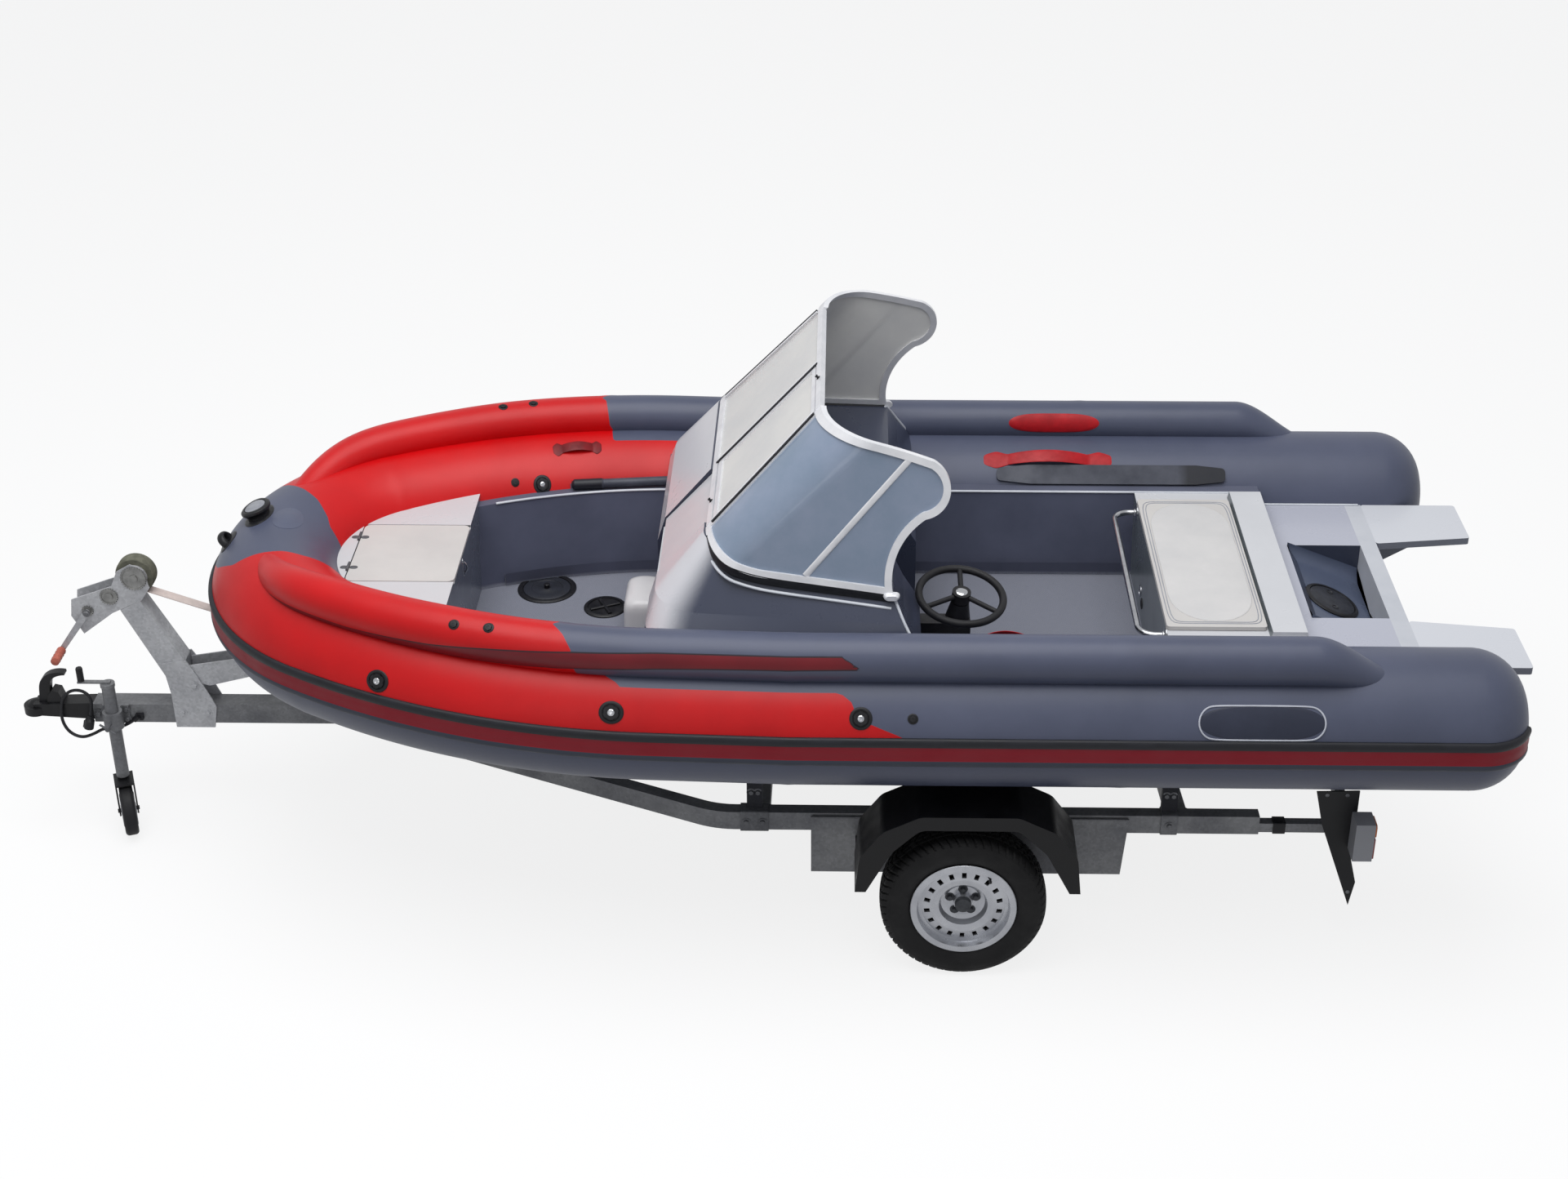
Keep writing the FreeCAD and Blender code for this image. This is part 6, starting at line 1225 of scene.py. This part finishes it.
tyre_rows = np.stack([(tyre_r[:, None] - cut) * np.cos(tyre_turn), (tyre_r[:, None] - cut) * np.sin(tyre_turn),
                      np.broadcast_to(tyre_y[:, None], (len(tyre_y), 601))], -1)
tyre_grid = np.concatenate([tyre_rows, tyre_rows[:1]])
dust_cap = turning([(0.0, -0.001), (0.029, -0.001), (0.029, 0.010), (0.027, 0.016), (0.020, 0.020), (0, 0.022)],
                   steps=48)
stem = turning([(0.0, -0.002), (0.0075, -0.002), (0.0060, 0.004), (0.0042, 0.010), (0.0042, 0.022), (0.0050, 0.023),
                (0.0050, 0.031), (0.0, 0.032)], steps=24)
cap_grey = finish("dust_cap", paint(70, 72, 76), paint(52, 54, 58), 0.03, (0.3, 0.45), 0.001, 0.0001, Metallic=0.4)
drum = turning([(0.054, -0.030), (0.136, -0.030), (0.141, -0.024), (0.141, 0.022), (0.137, 0.026), (0.096, 0.026),
                (0.086, 0.004), (0.054, 0.004), (0.054, -0.030)], steps=64)
drum_iron = finish("drum_iron", paint(26, 25, 25), paint(40, 36, 33), 0.04, (0.6, 0.8), 0.002, 0.0004)
wheel_y, wheel_z = 0.886, 0.2875
for hand, side in ((1, "port"), (-1, "starboard")):
    centre = np.array([axle_x, wheel_y * hand, wheel_z])
    outward = (0.0, float(hand), 0.0)
    tread = skin("tyre_tread_" + side, [placed(tyre_grid, centre, outward)], [tyre_rubber], "wheel_" + side)
    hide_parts("tyre_" + side)
    lugs = []
    for number in range(5):
        angle = 2 * np.pi * number / 5 + 0.3
        spot = centre + np.array([0.047 * np.cos(angle), 0.018 * hand, 0.047 * np.sin(angle)])
        lugs.append(placed(bolt_head(0.017, 0.013), spot, outward))
    skin("wheel_bolts_" + side, lugs, [cap_grey], "wheel_" + side)
    skin("brake_drum_" + side, [placed(drum, centre, outward)], [drum_iron], "wheel_" + side)
    skin("dust_cap_" + side, [placed(dust_cap, centre + np.array([0, 0.036 * hand, 0]), outward)], [cap_grey],
         "wheel_" + side)
    stem_place = centre + np.array([0.149 * np.cos(2.2), 0.050 * hand, 0.149 * np.sin(2.2)])
    skin("tyre_valve_" + side, [placed(stem, stem_place, outward)], [valve_black], "wheel_" + side)


# ---- mudguards ------------------------------------------------------------------------
# Moulded black plastic arches with a grained skin.  They stand on flat zinc stays, held by
# dome-headed bolts.
guard_black = finish("mudguard_plastic", paint(6, 6, 8), paint(13, 13, 16), 0.08, (0.34, 0.5), 0.0018, 0.0003)
dress(guard_black, "fender_port", "fender_starboard")
dome = turning([(0.0, -0.001), (0.013, -0.001), (0.013, 0.001), (0.0095, 0.0015), (0.009, 0.004), (0.006, 0.006),
                (0, 0.0066)], steps=28)
for hand, side in ((1, "port"), (-1, "starboard")):
    domes = [placed(dome, (axle_x + x, 0.8135 * hand, 0.4182)) for x in (-0.372, 0.356)]
    skin("mudguard_bolts_" + side, domes, [zinc_weld], "boat_and_trailer")


# ---- winch post and bow roller --------------------------------------------------------
# The folded post is bolted between two plates on the drawbar.  Its cheeks reach aft to a
# black rubber roller under the stem.
# painted highlight: a lighter copy of the frame's zinc stands for strong light on these parts
zinc_highlight_copy = zinc("zinc_painted_highlight", paint(190, 191, 194), paint(168, 169, 173))
dress(zinc_highlight_copy, "winch_post", "bow_roller", "winch", "winch_crank")
post_bolts = []
for hand in (1, -1):
    for x, z in ((2.800, 0.480), (2.895, 0.480), (2.835, 0.600)):
        post_bolts.append(placed(bolt_head(0.017, 0.009), (axle_x + x, 0.0462 * hand, z), (0, hand, 0)))
skin("post_bolts", post_bolts, [zinc_highlight_copy], "boat_and_trailer")
barrel = turning([(0.0, -0.0302), (0.044, -0.0302), (0.0464, -0.028), (0.0462, -0.012), (0.0454, 0.0), (0.0462, 0.012),
                  (0.0464, 0.028), (0.044, 0.0302), (0.0, 0.0302)], steps=64)
skin("bow_roller_rubber", [placed(barrel, (axle_x + 2.345, 0.0, 0.731), (0, 1, 0))], [roller_rubber],
     "boat_and_trailer")
pin_nuts = [placed(bolt_head(0.017, 0.009), (axle_x + 2.345, 0.0402 * hand, 0.731), (0, hand, 0))
            for hand in (1, -1)]
skin("bow_roller_nuts", pin_nuts, [zinc_weld], "boat_and_trailer")


# ---- winch ----------------------------------------------------------------------------
# Geared hand winch.  Flat woven strap is wound on the drum between two pressed cheeks; the
# wound roll is coloured olive, darker than the free strap.  Toothed wheels outboard of the port cheek join the
# drum to the crank, which has a faded red grip.
webbing = finish("strap_webbing", paint(222, 206, 200), paint(204, 190, 184), 0.04, (0.7, 0.85), 0.002, 0.0003,
                 Sheen_Weight=0.2)
weave = wired(webbing, "ShaderNodeTexWave", {"Vector": (object_place(webbing), "Object"), "Scale": 130.0,
                                             "Distortion": 1.5}, bands_direction="Y")
weave_relief = wired(webbing, "ShaderNodeBump", {
    "Height": (weave, "Fac"), "Distance": 0.0006, "Normal": (webbing.node_tree.nodes["relief"], "Normal")})
webbing.node_tree.links.new(weave_relief.outputs["Normal"],
                            webbing.node_tree.nodes["Principled BSDF"].inputs["Normal"])
dress(webbing, "winch_strap")
spindle = (axle_x + 3.002, 0.0, 1.052)
wound = [(0.0, -0.0275), (0.0485, -0.0275)]
for layer, height in enumerate(np.linspace(-0.0272, 0.0272, 24)):
    wound.append((0.0720 - 0.0009 * (layer % 2) - 0.004 * abs(height / 0.0272) ** 6, height))
wound += [(0.0485, 0.0275), (0.0, 0.0275)]
wound_olive = finish("wound_webbing", paint(112, 112, 98), paint(88, 88, 78), 0.03, (0.7, 0.85), 0.002, 0.0005)
skin("wound_strap", [placed(turning(wound, steps=72), spindle, (0, 1, 0))], [wound_olive], "boat_and_trailer")


def toothed(radius, teeth, thick):
    """Spur wheel with a sunk web and a hub boss: its rim is cut back 3.5 mm for half of each turn of
    the cosine, as many times as there are teeth."""
    profile = [(0, 0), (radius, 0), (radius, thick), (radius - 0.007, thick), (radius - 0.008, thick * 0.6),
               (0.016, thick * 0.6), (0.015, thick * 1.3), (0, thick * 1.3)]
    grid = turning(profile, steps=teeth * 8)
    tooth = 1 - 0.0035 / radius * (np.cos(teeth * np.linspace(0, 2 * np.pi, teeth * 8 + 1)) > 0)
    grid[1:3, :, :2] *= tooth[None, :, None]
    return grid


gear_steel = finish("gear_steel", paint(148, 148, 146), paint(122, 122, 121), 0.03, (0.3, 0.5), 0.001, 0.0001,
                    Metallic=0.7)
gears = [placed(toothed(radius, teeth, 0.006), (axle_x + x, 0.0402, z), (0, 1, 0)) for x, z, radius, teeth in
         ((3.002, 1.052, 0.048, 30), (3.103, 0.976, 0.034, 22), (3.190, 0.915, 0.022, 14))]
skin("winch_gears", gears, [gear_steel], "boat_and_trailer")
grip_red = finish("crank_grip", paint(186, 104, 88), paint(166, 88, 74), 0.03, (0.4, 0.55), 0.0012, 0.0003)
grip_rows = [(0.0, 0.0), (0.0150, 0.0)]
for step in np.linspace(0.0, 1.0, 26):
    grip_rows.append((0.0160 + 0.0012 * np.sin(step * 8 * np.pi), 0.001 + 0.083 * step))
grip_rows += [(0.012, 0.0862), (0.0, 0.0866)]
skin("crank_handgrip", [placed(turning(grip_rows, steps=36), (axle_x + 3.306, 0.0603, 0.757), (0, 1, 0))], [grip_red],
     "boat_and_trailer")
winch_nuts = [placed(bolt_head(0.017, 0.010), (axle_x + x, -0.0402, z), (0, -1, 0)) for x, z in
              ((3.002, 1.052), (3.103, 0.976), (3.190, 0.915))]
winch_nuts.append(placed(bolt_head(0.015, 0.009), (axle_x + 3.190, 0.0602, 0.915), (0, 1, 0)))
skin("winch_nuts", winch_nuts, [zinc_weld], "boat_and_trailer")


# ---- coupling and jockey wheel --------------------------------------------------------
# The ball coupling is painted black and bolted to the drawbar.  The jockey wheel's zinc tube
# is held in a clamp by a T-handled screw; its crank has a black grip, and its solid rubber
# wheel turns on a grey plastic centre.
coupling_black = finish("coupling_paint", paint(16, 16, 18), paint(30, 30, 33), 0.05, (0.3, 0.5), 0.0015, 0.0003)
dress(coupling_black, "coupling")
dress(zinc_frame, "jockey_clamp", "jockey_leg")
dress(coupling_black, "jockey_fork")
knob = turning([(0.0, 0.0), (0.0118, 0.0), (0.0128, 0.003), (0.0128, 0.052), (0.0110, 0.0575), (0.0, 0.0580)], steps=32,
               notch=0.1, lobes=8)
skin("jockey_crank_grip", [placed(knob, (axle_x + 3.244, 0.088, 0.6412))], [valve_black], "jockey_leg")
clamp_screw = turning([(0.0, -0.002), (0.0055, -0.002), (0.0055, 0.034), (0.0090, 0.035), (0.0090, 0.047), (0, 0.048)],
                      steps=24)
t_bar = bead([(x, 0.0, 0.041) for x in np.linspace(-0.034, 0.034, 12)], ring(0.0084, 0.0084, 12))
screw_place = (axle_x + 3.147, 0.1238, 0.478)
skin("jockey_clamp_screw", [placed(part, screw_place, (0, 1, 0), (0.8, 0.0, 0.6)) for part in (clamp_screw, t_bar)],
     [zinc_weld], "boat_and_trailer")
clamp_bolts = [placed(bolt_head(0.015, 0.008), (axle_x + x, 0.0482, z), (0, 1, 0)) for x in (3.107, 3.187)
               for z in (0.450, 0.492)]
skin("jockey_clamp_bolts", clamp_bolts, [zinc_weld], "boat_and_trailer")
hitch_bolts = [placed(bolt_head(0.019, 0.010), (axle_x + x, 0.0452 * hand, 0.471), (0, hand, 0))
               for x in (3.165, 3.215) for hand in (1, -1)]
skin("hitch_bolts", hitch_bolts, [zinc_weld], "boat_and_trailer")
hub_plastic = finish("hub_plastic", paint(150, 152, 156), paint(134, 136, 141), 0.03, (0.35, 0.5), 0.001, 0.0002)
spin = np.radians(20.0)
axle_way = np.array([np.cos(spin), np.sin(spin), 0.0])
wheel_middle = np.array([axle_x + 3.147 - 0.050 * np.sin(spin), 0.088 + 0.050 * np.cos(spin), 0.100])
wheel_hub = turning([(0.0085, -0.002), (0.064, -0.002), (0.064, 0.0008), (0.060, 0.0022), (0.046, 0.0018),
                     (0.044, 0.0006), (0.022, 0.0006), (0.020, 0.0036), (0.0085, 0.0036), (0.0085, -0.002)], steps=60)
skin("jockey_wheel_centre", [placed(wheel_hub, wheel_middle + axle_way * 0.025 * way, axle_way * way)
                             for way in (1, -1)], [hub_plastic], "jockey_wheel")
